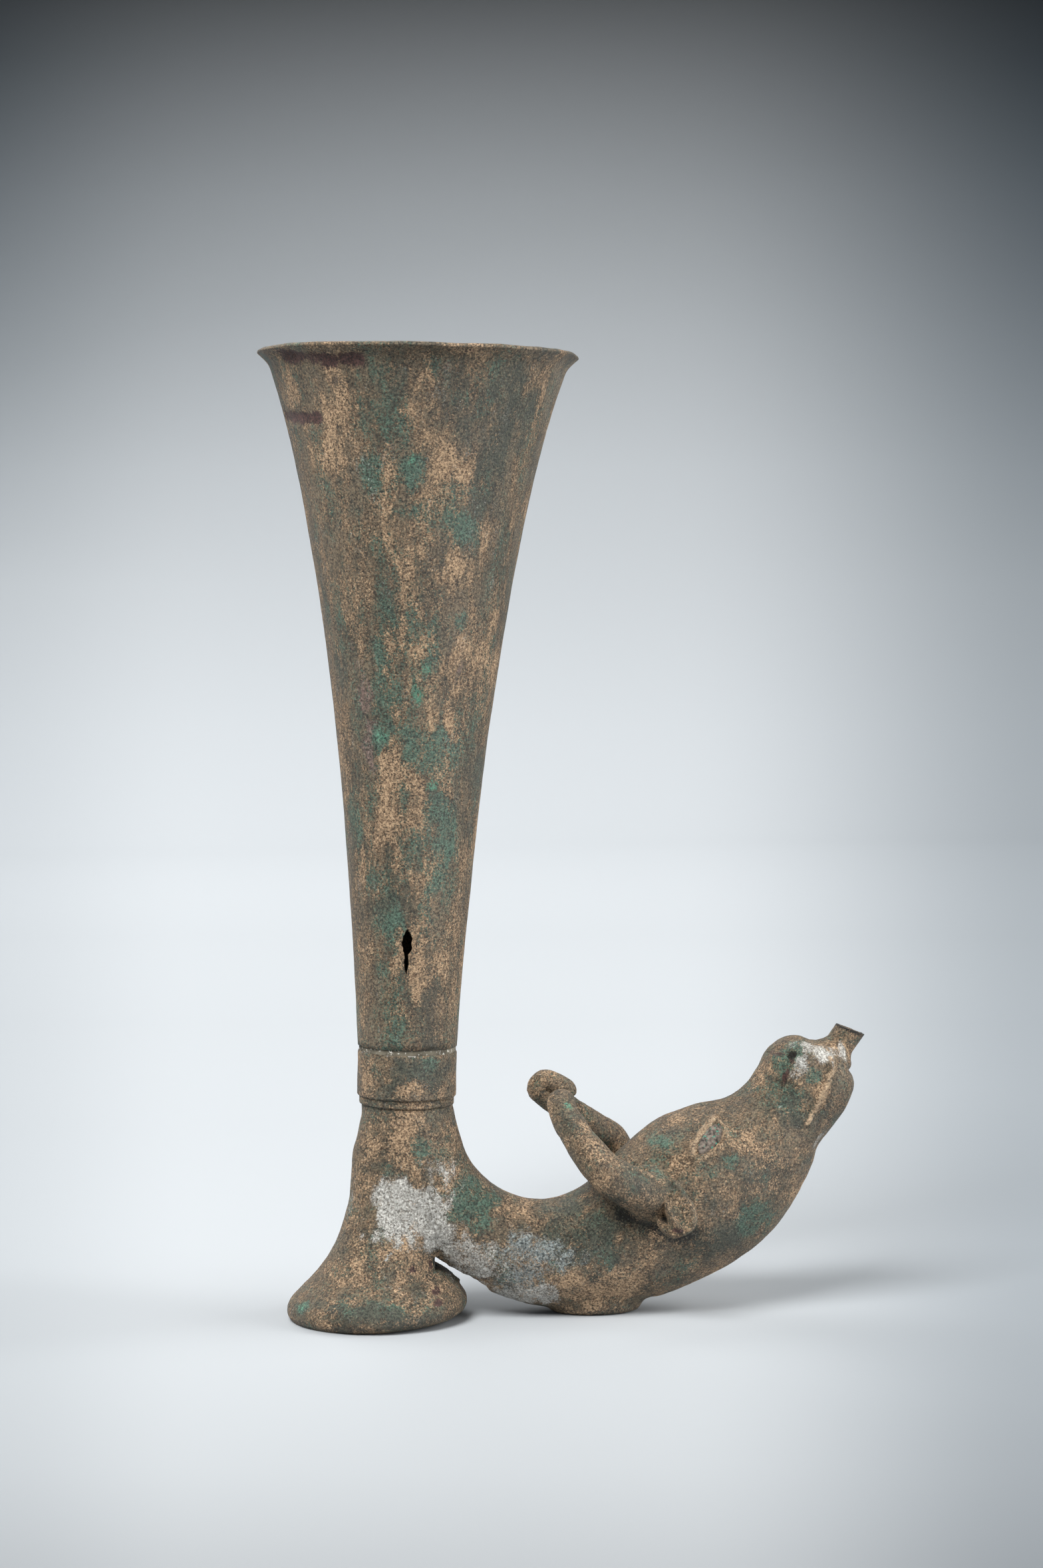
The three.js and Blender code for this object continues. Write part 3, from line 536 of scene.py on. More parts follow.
# %% Roll up bend, foot and pad
FOOT_RINGS = np.array([
    # reach, half width, height, set-back of the ring's middle behind the neck
    (23.6, 23.6, 0, 9.1), (26.5, 26.5, 1.5, 9.1), (27.6, 27.6, 3.6, 9.1), (26.9, 26.9, 6.2, 9),
    (24.4, 24.4, 9.2, 8.8), (19.3, 19.3, 14.6, 8.2), (17.4, 16.4, 20.6, 6), (16.5, 14.2, 27.6, 3.7),
    (16.2, 13.2, 36.6, 1.4), (16.8, 12.6, 45.6, 0.1), (16.9, 12.2, 51.6, -0.5), (15.4, 11.7, 56.5, -0.5),
    (14.3, 11, 61.5, -0.4),
])
FOOT_LIFT, FOOT_TOP = 2.7, FOOT_RINGS[-1, 2]


def bell(places, inset=0):
    """Rings of the bell foot at ring numbers, tipped up at the front, moved inwards by the inset in mm."""
    turns = round_turns(128)[None, :]
    size = through(FOOT_RINGS[:, :3], places)
    back = through(FOOT_RINGS[:, [3, 2]], places)[:, :1]
    inset = np.broadcast_to(inset, len(size))[:, None]
    forward = (size[:, :1] - inset) * np.cos(turns)
    across = (size[:, 1:2] - inset) * np.sin(turns)
    slope = FOOT_LIFT / (2 * FOOT_RINGS[:, 0].max()) * (1 - size[:, 2:] / FOOT_TOP)
    return np.stack([forward - back, across, size[:, 2:] + forward * slope], axis=2)


def joined(name, pieces):
    """Joins pieces into the first of them."""
    only(pieces[0])
    for piece in pieces:
        piece.select_set(True)
    bpy.ops.object.join()
    return named(name)


def recast(piece, grain):
    """Melts all that overlaps in a piece into one skin, with faces of a size in mm."""
    only(piece)
    piece.data.remesh_voxel_size = grain * MM
    bpy.ops.object.voxel_remesh()


# the bend runs on a little past the seam and tapers there, inside the head
PAST_SEAM, SEAM_TAPER = 0.3, 4
bend_places = np.linspace(0, SEAM_RIB + PAST_SEAM, 116)
bend_inset = SEAM_TAPER * np.maximum(bend_places - SEAM_RIB, 0)
bend = rolled("bend", skin(bend_places, round_turns(112), bend_inset))
foot = rolled("foot", bell(np.linspace(0, len(FOOT_RINGS) - 1, 90)))
PAD_MIDDLE, PAD_HALF_LENGTH, PAD_HALF_WIDTH = 57.8, 14.5, 9.5
pad_rings = []
# height of each ring, and how much larger than the pad it is
for rise, grow in ((0, -1.6), (0.4, -0.7), (1.5, 0), (6, 1.4), (12, 3.5)):
    turns = round_turns(96)
    forward = PAD_MIDDLE + (PAD_HALF_LENGTH + grow) * np.cos(turns)
    across = (PAD_HALF_WIDTH + grow) * np.sin(turns)
    pad_rings.append(np.stack([forward, across, np.full(len(turns), rise)], axis=1))
pad = rolled("pad", np.array(pad_rings))
casting = joined("cast_bend_and_foot", [bend, foot, pad])
recast(casting, 0.7)
apply_modifier(casting, "SMOOTH", factor=0.5, iterations=36)
print("casting faces:", len(casting.data.polygons))

# %% [markdown]
# The casting is hollow: wine runs down its channel and the bell is open below. Where foot and arm part, the
# metal is torn open. All three are cut away with tools that are rolled up the same way, the tear with a
# ragged edge.

# %% Cut the channel, the hollow of the bell and the tear
CASTING_WALL = 2.4
RIM_WALL, BELL_WALL, RIM_TALL = 5.2, 2.3, 7


def bell_wall(places, wall):
    """Thickness of the bell at ring numbers: thick at the rim, and as given above it."""
    tall = np.clip(through(FOOT_RINGS[:, :3], places)[:, 2] / RIM_TALL, 0, 1)
    return RIM_WALL + (wall - RIM_WALL) * tall * tall * (3 - 2 * tall)


channel = skin(np.linspace(0, SEAM_RIB + 0.5, 60), round_turns(64), CASTING_WALL)
cut(casting, rolled("channel", np.concatenate([channel[:1] + (0, 0, 4), channel])))
hollow_places = np.linspace(0, 7.7, 40)
hollow = bell(hollow_places, bell_wall(hollow_places, BELL_WALL))
cut(casting, rolled("hollow", np.concatenate([hollow[:1] - (0, 0, 6), hollow])))
# x and z of the torn edge
TEAR = [
    (6.4, 20.3), (6.9, 18.6), (7.1, 17.2), (7.6, 15.8), (9.5, 15.2), (11.5, 14.3), (14.5, 12.2), (19, 8.6),
    (24, 4), (25, 8), (20, 12.2), (16.6, 14.2), (13.6, 15.4), (12.6, 16.0), (11.2, 17.2), (9.6, 18.2),
    (8.2, 19.2),
]
TEAR_REACH = 26
closed = np.array([(x, 0, z) for x, z in TEAR + TEAR[:1]])
tear = through(closed, np.linspace(0, len(TEAR), 120, endpoint=False))
tear_rings = []
for y in np.linspace(-TEAR_REACH, TEAR_REACH, 70):
    ring = tear + (0, y, 0)
    ring[:, 0] += lumpy(ring, (0.55, 2.1, 21))
    ring[:, 2] += lumpy(ring, (0.45, 1.7, 22))
    tear_rings.append(ring)
cut(casting, rolled("tear", np.array(tear_rings)))
recast(casting, 0.66)
apply_modifier(casting, "SMOOTH", factor=0.5, iterations=2)
points = points_of(casting)
points[:, 2] = np.maximum(points[:, 2], 0)
move_points(casting, points)
CRUSTY_JOINT = [(8, -12, 24), (18, -11, 15), (36, -8, 6)]
crusty = swell(reach(points, CRUSTY_JOINT), 7)
bumps = lumpy(points, (0.24, 7, 23), (0.08 + 0.24 * crusty, 1.9, 24))
push(casting, bumps * np.clip(points[:, 2] / 2, 0, 1))
smooth(casting)

# %% [markdown]
# Inside the bell sits the lead that fixes the foot to the bend. It shows only from below. It was poured, so
# its lower face is lumpy and dished towards the wall.

# %% Pour the lead bed
LEAD_BOTTOM, LEAD_TOP, LEAD_GAP = 4.9, 7.6, 0.15
lead_places = np.linspace(LEAD_BOTTOM, LEAD_TOP, 30)
lead_rings = bell(lead_places, bell_wall(lead_places, BELL_WALL + LEAD_GAP))
floor_middle = lead_rings[0].mean(axis=0)
inward = [floor_middle + (lead_rings[0] - floor_middle) * share for share in np.linspace(0.03, 0.97, 24)]
lead = rolled("lead_bed", np.concatenate([np.array(inward), lead_rings]))
points = points_of(lead)
low = points[:, 2] < floor_middle[2] + 2.2
points[:, 2] += np.where(low, lumpy(points, (0.9, 5, 31), (0.35, 1.8, 32)), 0)
move_points(lead, points)
smooth(lead)

# %% [markdown]
# ## The head
# The head is the same skin from its seam to the lips, with finer rings so that carving shows. Lids, nostrils,
# mouth and chin are carved on the visible side first. The other side is the same carving with y turned
# round, because the bull was meant to look the same from both sides. At the back the skin is tucked a little
# way under the casting, so that no line shows where the two meet: on the real horn the joint was filed flush.

# %% Roll up the head
TUCK, TUCK_DEPTH, FINE_FROM = 0.7, 1.4, 12
head_places = np.concatenate([
    np.linspace(SEAM_RIB - TUCK, FINE_FROM, 96, endpoint=False), np.linspace(FINE_FROM, LAST_RIB, 74),
])
tucked = TUCK_DEPTH * np.clip((SEAM_RIB - head_places) / TUCK, 0, 1)
head = rolled("bull_head", skin(head_places, round_turns(184), tucked))
print("head faces:", len(head.data.polygons))

# %% [markdown]
# A carver draws each line on the surface first. The lines here are drawn through a few spots near it, laid on
# the nearest points of the head, and then raised or sunk with a soft edge.

# %% Carve lids, nostrils, mouth and chin
UPPER_LID = [
    (84.2, -17.1, 50.2), (85.6, -16.5, 53.2), (87.5, -15.2, 55.9), (90.4, -12.7, 58.5), (93.9, -10.4, 60.5),
]
LOWER_LID = [
    (86, -18.3, 48.9), (91.9, -17.7, 51.8), (94.8, -16.5, 54.4), (95.5, -15, 57.3), (93.8, -13, 60.5),
]
CHEEK_FOLD = [(84.8, -19.2, 45.8), (90.5, -18.9, 49), (96.8, -17.6, 52.7)]
EYE_MIDDLE = [(87.6, -17.8, 52.2), (90.6, -16.6, 55.6), (93.4, -14, 58.4)]
NOSTRIL = [(117.4, -8.4, 78.6), (116.4, -9.8, 76.4), (114.8, -10.9, 73.4), (113.9, -11.2, 71.2)]
NOSTRIL_ENDS = NOSTRIL[:1] * 2, NOSTRIL[-1:] * 2
NOSTRIL_WING = [(121.5, -10.6, 79), (119.2, -11.8, 76), (117, -12.9, 71.5)]
MOUTH = [
    (128.8, -10.8, 77.6), (128.2, -13, 72.8), (126.2, -14, 68.2), (123.5, -14.2, 62.8), (121, -14.1, 58.5),
]
MUZZLE_HOLLOW = [(114.5, -14, 67.5), (119, -14, 63)]
# line, radius and rise, on both sides of the head
CARVING = (
    (UPPER_LID, 1.0, 1.5), (LOWER_LID, 0.85, 1.15), (CHEEK_FOLD, 0.8, 0.45), (EYE_MIDDLE, 2.3, -0.7),
    (NOSTRIL, 1.15, -1.0), (NOSTRIL_ENDS[0], 1.1, -1.0), (NOSTRIL_ENDS[1], 1.0, -0.9),
    (NOSTRIL_WING, 3.2, 0.9), (MOUTH, 1.0, 1.15), (MUZZLE_HOLLOW, 4.5, -0.7),
)
LIP_NOTCH = [(137.2, -8, 73.4), (137.6, 8, 73.4)]
CHIN = [(138.4, -7, 67.2), (138.6, 7, 67.2)]
NOSE_DIP = [(125, -6, 83), (125, 6, 83)]
NOSE_BUMP = [(111.5, -5, 78), (115.5, -5, 81), (111.5, 5, 78), (115.5, 5, 81)]
JAW_HOLLOW = [(126.5, -6, 50.5), (126.5, 6, 50.5)]
# the same for what runs across the head
ACROSS = (
    (CHIN, 3.6, 0.2), (LIP_NOTCH, 2.2, -1.1), (NOSE_BUMP, 3.5, 0.9), (NOSE_DIP, 3, -1.2),
    (JAW_HOLLOW, 4.5, -1.2),
)
OTHER_SIDE = np.array((1, -1, 1))


def laid_on(piece, line):
    """The points of a piece that lie nearest to a line through some spots."""
    found = points_of(piece)
    dense = through(line, np.linspace(0, len(line) - 1, 8 * len(line)))
    return np.array([found[np.linalg.norm(found - spot, axis=1).argmin()] for spot in dense])


points = points_of(head)
carved = np.zeros(len(points))
for line, radius, rise in CARVING:
    on_head = laid_on(head, line)
    for side in (points, points * OTHER_SIDE):
        carved += rise * swell(reach(side, on_head), radius)
for line, radius, rise in ACROSS:
    carved += rise * swell(reach(points, line), radius)
carved += lumpy(points, (0.2, 7, 43), (0.12, 4, 41), (0.09, 1.6, 42))
push(head, carved)
smooth(head)
print("carving from", round(carved.min(), 2), "to", round(carved.max(), 2), "mm")

# %% [markdown]
# ## Horns
# Solid cast horns sweep back from the temples, and their tips hook into each other over the poll. A horn is a
# tube along a line through way points. Its first rings flare, so that the root sits on the skull like a
# fillet.

# %% Sweep the horns
def on_skin(rib, degrees):
    """A point of the skin and the direction that leads straight out of it."""
    turn = np.radians(degrees)
    spots = skin([rib, rib + 0.05, rib - 0.05], np.array([turn, turn + 0.02, turn - 0.02]))
    out = np.cross(spots[1, 0] - spots[2, 0], spots[0, 1] - spots[0, 2])
    out *= np.sign(out[1] * np.sin(turn)) / np.linalg.norm(out)
    return spots[0, 0], out


def swept(name, line, radii, sides):
    """A tube of given radii along a line, in mm, without twist."""
    along = np.gradient(line, axis=0)
    along /= np.linalg.norm(along, axis=1, keepdims=True)
    side = np.cross(along[0], (0.3, 0.9, 0.2))
    rings = []
    turns = round_turns(sides)[:, None]
    for spot, heading, radius in zip(line, along, radii):
        side = side - heading * (side @ heading)
        side /= np.linalg.norm(side)
        rings.append(spot + radius * (np.cos(turns) * side + np.sin(turns) * np.cross(heading, side)))
    return rolled(name, np.array(rings))


RIGHT_HORN = [(57.8, -23, 46.3), (52.4, -19.5, 52.5), (49.3, -15, 57.3), (46.7, -9, 63), (46.6, -3, 67.6)]
LEFT_HORN = [
    (66.3, 20.5, 48), (59.7, 15.5, 53.6), (49.2, 8.5, 61.8), (42.9, 6, 66.3), (40.9, 4.9, 68.3),
    (42.5, 4.6, 70.4), (46.2, 4.5, 69.6), (49.3, 4.6, 67.6), (51.5, 5, 65.2),
]
HORN_RIB, HORN_DEGREES = 7.8, 60
HORN_BURIED, HORN_STRAIGHT = 2.4, 3.4
HORN_ROOT_RADIUS, HORN_FLARE, FLARE_FROM, FLARE_REACH = 6.9, 2.6, 1.2, 3.0


def horn(name, hand, way, tip_radius, seed):
    """One horn: hand is -1 for the bull's right and 1 for its left."""
    root, out = on_skin(HORN_RIB, hand * HORN_DEGREES)
    knots = np.array([root - HORN_BURIED * out, root + HORN_STRAIGHT * out] + way)
    line = through(knots, np.linspace(0, len(knots) - 1, 130))
    walked = np.concatenate([[0], np.cumsum(np.linalg.norm(np.diff(line, axis=0), axis=1))])
    even = np.linspace(0, walked[-1], 110)
    line = np.stack([np.interp(even, walked, line[:, k]) for k in range(3)], axis=1)
    share = even / even[-1]
    radii = HORN_ROOT_RADIUS + (tip_radius - HORN_ROOT_RADIUS) * np.minimum(1, 1.2 * share)
    radii = radii + HORN_FLARE * swell(np.maximum(even - FLARE_FROM, 0), FLARE_REACH)
    to_end = np.clip((even[-1] - even) / tip_radius, 0, 1)
    radii = radii * np.sqrt(np.clip(1 - 0.99 * (1 - to_end) ** 2, 0.0004, 1))
    made = swept(name, line, radii, 88)
    push(made, lumpy(points_of(made), (0.4, 8, seed), (0.16, 3, seed + 2), (0.08, 1.6, seed + 1)))
    smooth(made)
    print(name, "length in mm:", round(even[-1], 1))
    return made


right_horn = horn("right_horn_cast", -1, RIGHT_HORN, 4.4, 51)
left_horn = horn("left_horn_cast", 1, LEFT_HORN, 3.3, 53)

# %% [markdown]
# ## Ears
# An ear hangs under each horn: a thick leaf with folds along it, rolled over at the rear, and a dark pit
# where the roll opens. It is a row of flat rings along the ear's length. Folds and dishes are hills and
# hollows across each ring, on its outer face only.

# %% Shape the ears
EAR_RIB, EAR_DEGREES = 8.45, 66
EAR_LENGTH, EAR_HALF_WIDTH, EAR_HALF_THICK = 20, 6.5, 3.4
EAR_SUNK, EAR_BACK = 0.2, 2.5
EAR_DROOP, EAR_LEAN = math.radians(52), 0.3
# place across the ear from -1 at the rear to 1, breadth and rise of each fold
EAR_FOLDS = ((-0.16, 0.13, 1.7), (-0.9, 0.16, 1.5), (0.88, 0.12, 0.8), (0.38, 0.36, -1.5))
# breadth of each pit across the ear, its place and reach along the ear, and its depth
EAR_PITS = ((0.2, 0.6, 0.3, 2), (0.17, 0.62, 0.1, 2.4))
PIT_ACROSS, PIT_RING = -0.56, 39
pit_spots = []


def ear(name, hand, seed):
    """One ear: hand is -1 for the bull's right and 1 for its left."""
    root, _ = on_skin(EAR_RIB, hand * EAR_DEGREES)
    long = np.array((EAR_LEAN, hand * math.cos(EAR_DROOP), -math.sin(EAR_DROOP)))
    long /= np.linalg.norm(long)
    ahead = skin([EAR_RIB - 0.05, EAR_RIB + 0.05], np.array([hand * math.radians(EAR_DEGREES)]))[:, 0]
    wide = ahead[1] - ahead[0]
    wide -= long * (wide @ long)
    wide /= np.linalg.norm(wide)
    thick = np.cross(wide, long) * hand
    turns = round_turns(72)
    across, outer = np.cos(turns), np.maximum(np.sin(turns), 0)
    rings = []
    for share in np.linspace(0.002, 0.998, 64):
        belly = (0.55 + 0.45 * math.sin(math.pi / 2 * min(1, 1.25 * share))) * (1 - share ** 8) ** 0.5
        middle = root + long * EAR_LENGTH * (share - EAR_SUNK) - wide * EAR_BACK
        relief = belly * sum(rise * swell(across - spot, broad) for spot, broad, rise in EAR_FOLDS)
        for broad, along, reaching, deep in EAR_PITS:
            relief -= deep * swell(across - PIT_ACROSS, broad) * swell(share - along, reaching)
        flat = EAR_HALF_THICK * belly * np.sin(turns) + relief * outer
        rings.append(middle + np.outer(EAR_HALF_WIDTH * belly * across, wide) + np.outer(flat, thick))
    pit_spots.append(rings[PIT_RING][np.abs(turns - math.acos(PIT_ACROSS)).argmin()])
    made = rolled(name, np.array(rings))
    push(made, lumpy(points_of(made), (0.22, 4, seed), (0.07, 1.5, seed + 1)))
    smooth(made)
    return made


right_ear = ear("right_ear_leaf", -1, 61)
left_ear = ear("left_ear_leaf", 1, 63)

# %% [markdown]
# ## Eyes
# Between the lids lies an almond of another surface: flat, greyer than the face, with green specks. It is a
# squeezed sphere whose ends are drawn to points, sunk between the lids.

# %% Set the eye inlays
EYE_RIB, EYE_DEGREES = 9.74, 50
ALMOND, ALMOND_POINT, INLAY_SUNK = (6.4, 3.1, 1.25), 0.35, 1.45


def inlay(name, hand):
    """One almond inlay: hand is -1 for the bull's right and 1 for its left."""
    start, middle, end = np.array(EYE_MIDDLE) * (1, -hand, 1)
    long = end - start
    long /= np.linalg.norm(long)
    _, out = on_skin(EYE_RIB, hand * EYE_DEGREES)
    wide = np.cross(out, long)
    wide /= np.linalg.norm(wide)
    out = np.cross(long, wide)
    bpy.ops.object.select_all(action="DESELECT")
    bpy.ops.mesh.primitive_uv_sphere_add(segments=64, ring_count=40, radius=1)
    made = named(name)
    ball = np.array([v.co for v in made.data.vertices])
    almond = ball * ALMOND
    almond[:, 1:] *= (1 - ball[:, :1] ** 2) ** ALMOND_POINT
    spots = middle + almond @ np.array([long, wide, out]) - INLAY_SUNK * out
    move_points(made, spots)
    push(made, lumpy(spots, (0.12, 1.7, 71)))
    smooth(made)
    return made


right_eye = inlay("right_eye_inlay", -1)
left_eye = inlay("left_eye_inlay", 1)

# %% [markdown]
# ## Spout
# A short tube leaves the lips. It flares into the muzzle at its root, and its end is broken off at a slant.
# The outside is a swept tube of changing radius, a rod cut out of it gives the bore, and a bisect gives the
# break.

# %% Draw the spout
LIPS = np.array((132.8, 0, 78.7))
SPOUT_RISE, SPOUT_CUT = math.radians(54), math.radians(69)
SPOUT_LENGTH, SPOUT_RADIUS, BORE_RADIUS = 8.1, 4.35, 2.9
ROOT_FLARE, END_FLARE, EDGE_RADIUS = 2.4, 0.25, 4.2
spout_way = np.array((math.cos(SPOUT_RISE), 0, math.sin(SPOUT_RISE)))
break_face = np.array((math.cos(SPOUT_CUT), 0, math.sin(SPOUT_CUT)))
walk = np.linspace(-5, 15, 64)
spout_radii = SPOUT_RADIUS + ROOT_FLARE * swell(np.maximum(walk + 1.5, 0), 2.4)
spout_radii += END_FLARE * np.clip(walk / 10, 0, 1)
spout = swept("spout_tube", LIPS + np.outer(walk, spout_way), spout_radii, 72)
rod = np.linspace(-9, 20, 12)
cut(spout, swept("bore", LIPS + np.outer(rod, spout_way), np.full(len(rod), BORE_RADIUS), 48))
bpy.ops.object.mode_set(mode="EDIT")
bpy.ops.mesh.select_all(action="SELECT")
bpy.ops.mesh.bisect(
    plane_co=place(LIPS + SPOUT_LENGTH * spout_way), plane_no=break_face, use_fill=True, clear_outer=True,
)
bpy.ops.object.mode_set(mode="OBJECT")
recast(spout, 0.3)
push(spout, lumpy(points_of(spout), (0.14, 3, 81), (0.08, 1.1, 82)))
smooth(spout)
edge_turns = round_turns(25)[:, None]
around = np.cos(edge_turns) * (0, 1, 0) + np.sin(edge_turns) * np.cross(spout_way, (0, 1, 0))
around *= EDGE_RADIUS
slide = SPOUT_LENGTH - (around @ break_face) / (spout_way @ break_face)
spout_edge = LIPS + around + slide[:, None] * spout_way
print("the broken edge rises by", round(np.ptp(spout_edge[:, 2]), 1), "mm")

# %% [markdown]
# ## The crust
# The ground has covered the bronze with minerals: dark earthy film, sandy grains, green and bright malachite,
# red cuprite where the crust has flaked off, and a white bloom by the foot. Random patches alone would put
# them anywhere, so the main ones are dabbed on by place and size, as with a brush, and others are strokes
# along a line: worn lids and lips, dark pits and creases. Not all of it is crust: the dark crease under the
# ear is painted shade along with a stain, and the white on the nostril wing and at the mouth is a white
# deposit with a painted highlight. Each kind is a number on every point. The material reads it and gives the
# patch its ragged edge. Away from the dabs the patches are random.

# %% Places of the patches
# place in mm, half width and half height of each dab, and its strength where it is not 1
DABS = {
    "tan": (
        (-2, -33, 240, 14, 30, 0.4), (3, -24, 190, 10, 30, 0.4), (0, -18, 140, 9, 25, 0.4),
        (-8, -32, 248, 1.9, 13.2), (9, -35, 256, 4.8, 4.5), (8, -33, 244, 1.7, 1.6), (-3, -30, 228, 2.5, 5.7),
        (11, -28, 226, 3.2, 6.4), (-6, -25, 206, 3.7, 10.9), (3, -26, 204, 4, 3.4), (10, -22, 182, 2.9, 4.6),
        (13, -23, 198, 3.4, 8.6), (-6, -19, 159, 7.8, 11.8), (-4, -18, 136, 4, 6.6),
        (22, -16, 201, 4.3, 17.2), (-2, -13, 55, 4.9, 8.9), (60, -14, 11, 13, 5.5), (46, -12, 7, 9, 3.5),
        (26, -11, 34, 3.7, 3), (1, -15, 72, 3.6, 1.6), (2, -16, 108, 7, 8), (-12, -20, 17, 15, 9, 0.7),
        (18, -20, 210, 9, 30, 0.5), (-24, -26, 268, 12, 16, 0.5), (34, -11, 10, 12, 4),
    ),
    "green": (
        (-6, -23, 191, 2.9, 4.6), (-4, -22, 177, 7.4, 4.6), (5, -22, 173, 8, 5.7), (8, -19, 153, 4.9, 8.6),
        (-11, -14, 134, 4.4, 4.6), (6, -18, 136, 2.9, 6.1), (14, -25, 212, 2.6, 3.5),
        (-14, -31, 254, 4.5, 4.5), (-1, -35, 255, 2.5, 4.8), (0, -33, 243, 5.7, 3.2),
        (15, -30, 238, 5.4, 4.5), (3, -14, 53, 3.7, 3.7), (18, -11, 41, 9.2, 8.5), (76, -10, 54, 4.5, 1.5),
        (116, -8, 77, 4.4, 5.9), (103, -16, 29, 7.4, 5.6), (57, -16, 27, 4.4, 10.4),
        (117, -14, 65, 5.5, 3.7), (123, -13, 73, 2.7, 2.5), (-33, -11, 6, 3.4, 2.1),
        (-12, -26, 7, 11, 2.1), (6, -14, 79, 3.1, 2), (-7, -17, 122, 3.4, 7), (-1, -24, 200, 9, 30, 0.5),
        (96, -19, 48.5, 2.6, 2.8), (-9, -22, 200, 2.2, 11, 0.9), (3, -19, 146, 7, 14, 0.6),
        (-9, -16, 128, 4, 12, 0.7),
    ),
    "malachite": (
        (3, -25, 197, 2, 2.6), (1, -24, 191, 1.7, 3.2), (-9, -20, 177, 2, 2.3), (6, -21, 163, 2.3, 2),
        (-10, -15, 133, 0.8, 1), (-2, -36, 258, 1, 1.6), (47, -13, 65, 1.7, 2), (-33, -11, 6, 2.4, 1.5),
    ),
    "mauve": ((-14.5, -18, 195, 4.4, 11.5), (-12.5, -17, 178, 3.2, 8.5)),
    "dark": (
        (27, -29, 264, 13, 20), (50, -17, 28, 15, 8), (86, -19, 24, 12, 7), (4, -15, 76, 12, 6),
        (-8, -27, 5, 24, 3), (116, -14, 63, 7, 5),
    ),
    "grey_bloom": ((33, -13, 14, 10, 7), (42, -15, 21, 11, 6), (28, -13, 22, 8, 5)),
    "cuprite": (
        (114, -5, 79, 4.1, 1.5, 0.75), (114, -11, 72, 1.1, 1.8), (8, -17, 11, 2.8, 1.3),
        (8, -20, 8, 2.1, 1.1), (6, -13, 18, 1.3, 2.2), (0, -16, 17, 1.5, 1.5), (77.3, -29, 29.5, 2.4, 1),
    ),
    "bloom_and_highlight": (
        (1, -13, 34, 13, 10, 1.3), (9, -12, 26, 8, 7, 1.2), (19, -12, 19, 8, 6), (33, -10, 8, 11, 4),
        # on the muzzle; the two on the nostril wing, at x 119.5 and 117.6 mm, also paint a highlight there
        (119.5, -11.6, 76, 2.8, 3.6, 1.1), (122.6, -8.4, 81, 5, 3, 0.95), (126.3, -10.3, 79.2, 3.5, 2.5, 1),
        (133, -4.1, 78.5, 3, 3, 0.9), (117.6, -12.4, 72.7, 2.4, 2.6, 0.85), (127, -9, 51.5, 2.4, 6, 0.9),
    ),
    "crust_and_highlight": (
        # the first two, on the nostril wing and at the mouth, are a white deposit with a painted highlight
        (119.8, -11.4, 76.4, 1.5, 2.6, 1.2), (129, -12, 76, 0.6, 1.8), (131, -6, 79, 1.6, 1.6, 0.8),
        (7, -11, 24, 4, 3.6), (17, -8, 15, 5.5, 4.5), (36, -8, 5, 9.2, 2.4),
    ),
}
LIP_STAIN = [(8, -46.5, 290), (16, -44, 290), (24, -40.5, 289.8)]
# the crease under the ear and horn root, where painted shade and a dark stain are laid
EAR_CREASE_SHADE_AND_STAIN = [
    (63.5, -16.3, 32.4), (68.2, -17.9, 32.2), (73.1, -19.3, 28.9), (78.8, -19.3, 25.3), (84.3, -19.3, 26.6),
]
# lines of a kind, with a radius in mm and a strength
STROKES = {
    "worn": tuple(
        (laid_on(head, np.array(line) * hand), radius, strength)
        for line, radius, strength in ((UPPER_LID, 0.9, 1.15), (MOUTH, 1.0, 1.1), (LOWER_LID, 0.7, 0.9))
        for hand in (1, OTHER_SIDE)
    ),
    "pits": (
        (spout_edge, 0.7, 1.3), (NOSTRIL_ENDS[0], 1.3, 1.5), (NOSTRIL_ENDS[1], 1.2, 1.5),
        # near-black specks along the ear crease are painted shade
        (EAR_CREASE_SHADE_AND_STAIN, 2.6, 0.75), *(([pit, pit], 1.2, 1.4) for pit in pit_spots),
    ),
    "cuprite": ((LIP_FLAKE, 2.8, 1.4), (LIP_STAIN, 1.3, 1.1), (WALL_FLAKE, 2.2, 1.4), (NOSTRIL, 1.8, 0.85)),
    # painted shade in the crease under the ear, with a dark stain below it
    "dark": ((EAR_CREASE_SHADE_AND_STAIN, 3.2, 1.3),),
    "crust_and_highlight": (
        ([(-0.5, -13, 38.7), (3, -12.4, 35.5), (6.4, -12.6, 31.4), (8.4, -12.4, 28.3), (10.9, -11.8, 24.1)],
         0.9, 1.2),
        ([(0.3, -13.3, 33.1), (-1.4, -13.9, 28.9), (-0.2, -14.1, 26.5)], 0.7, 1.2),
        ([(-2.9, -14.6, 25.4), (-5.9, -15.4, 23.3), (-8, -16.2, 20.5)], 0.7, 1),
        ([(14.3, -13.3, 25.3), (16.4, -13, 22.1), (20.5, -12.5, 17.9), (25.6, -12.2, 14.6)], 0.9, 1.2),
        ([(14, -10, 17), (20, -9, 12), (28, -8.5, 7.5), (38, -8.5, 4)], 1.6, 1.1),
        ([(-14, -4.6, 82), (-7, -12.8, 82), (1, -14.6, 82)], 0.8, 1),
        # the white streaks on the nostril wing and at the start of the mouth: a white deposit with a painted
        # highlight
        ([(121.4, -10.9, 78.1), (119.6, -11.8, 75.9), (117.6, -12.2, 73.3)], 1.3, 1.4),
        ([(128, -9.6, 78.6), (128.7, -11.7, 76.5)], 0.9, 1.3),
    ),
}
print("dabs:", sum(map(len, DABS.values())), "and strokes:", sum(map(len, STROKES.values())))

# %% [markdown]
# A dab with a clean edge would look stamped. So the places are shifted by lumps of two sizes before they are
# measured, a little longer down than across, as water draws them. On the visible side the rare kinds lie
# where they were dabbed, and hardly anywhere else.

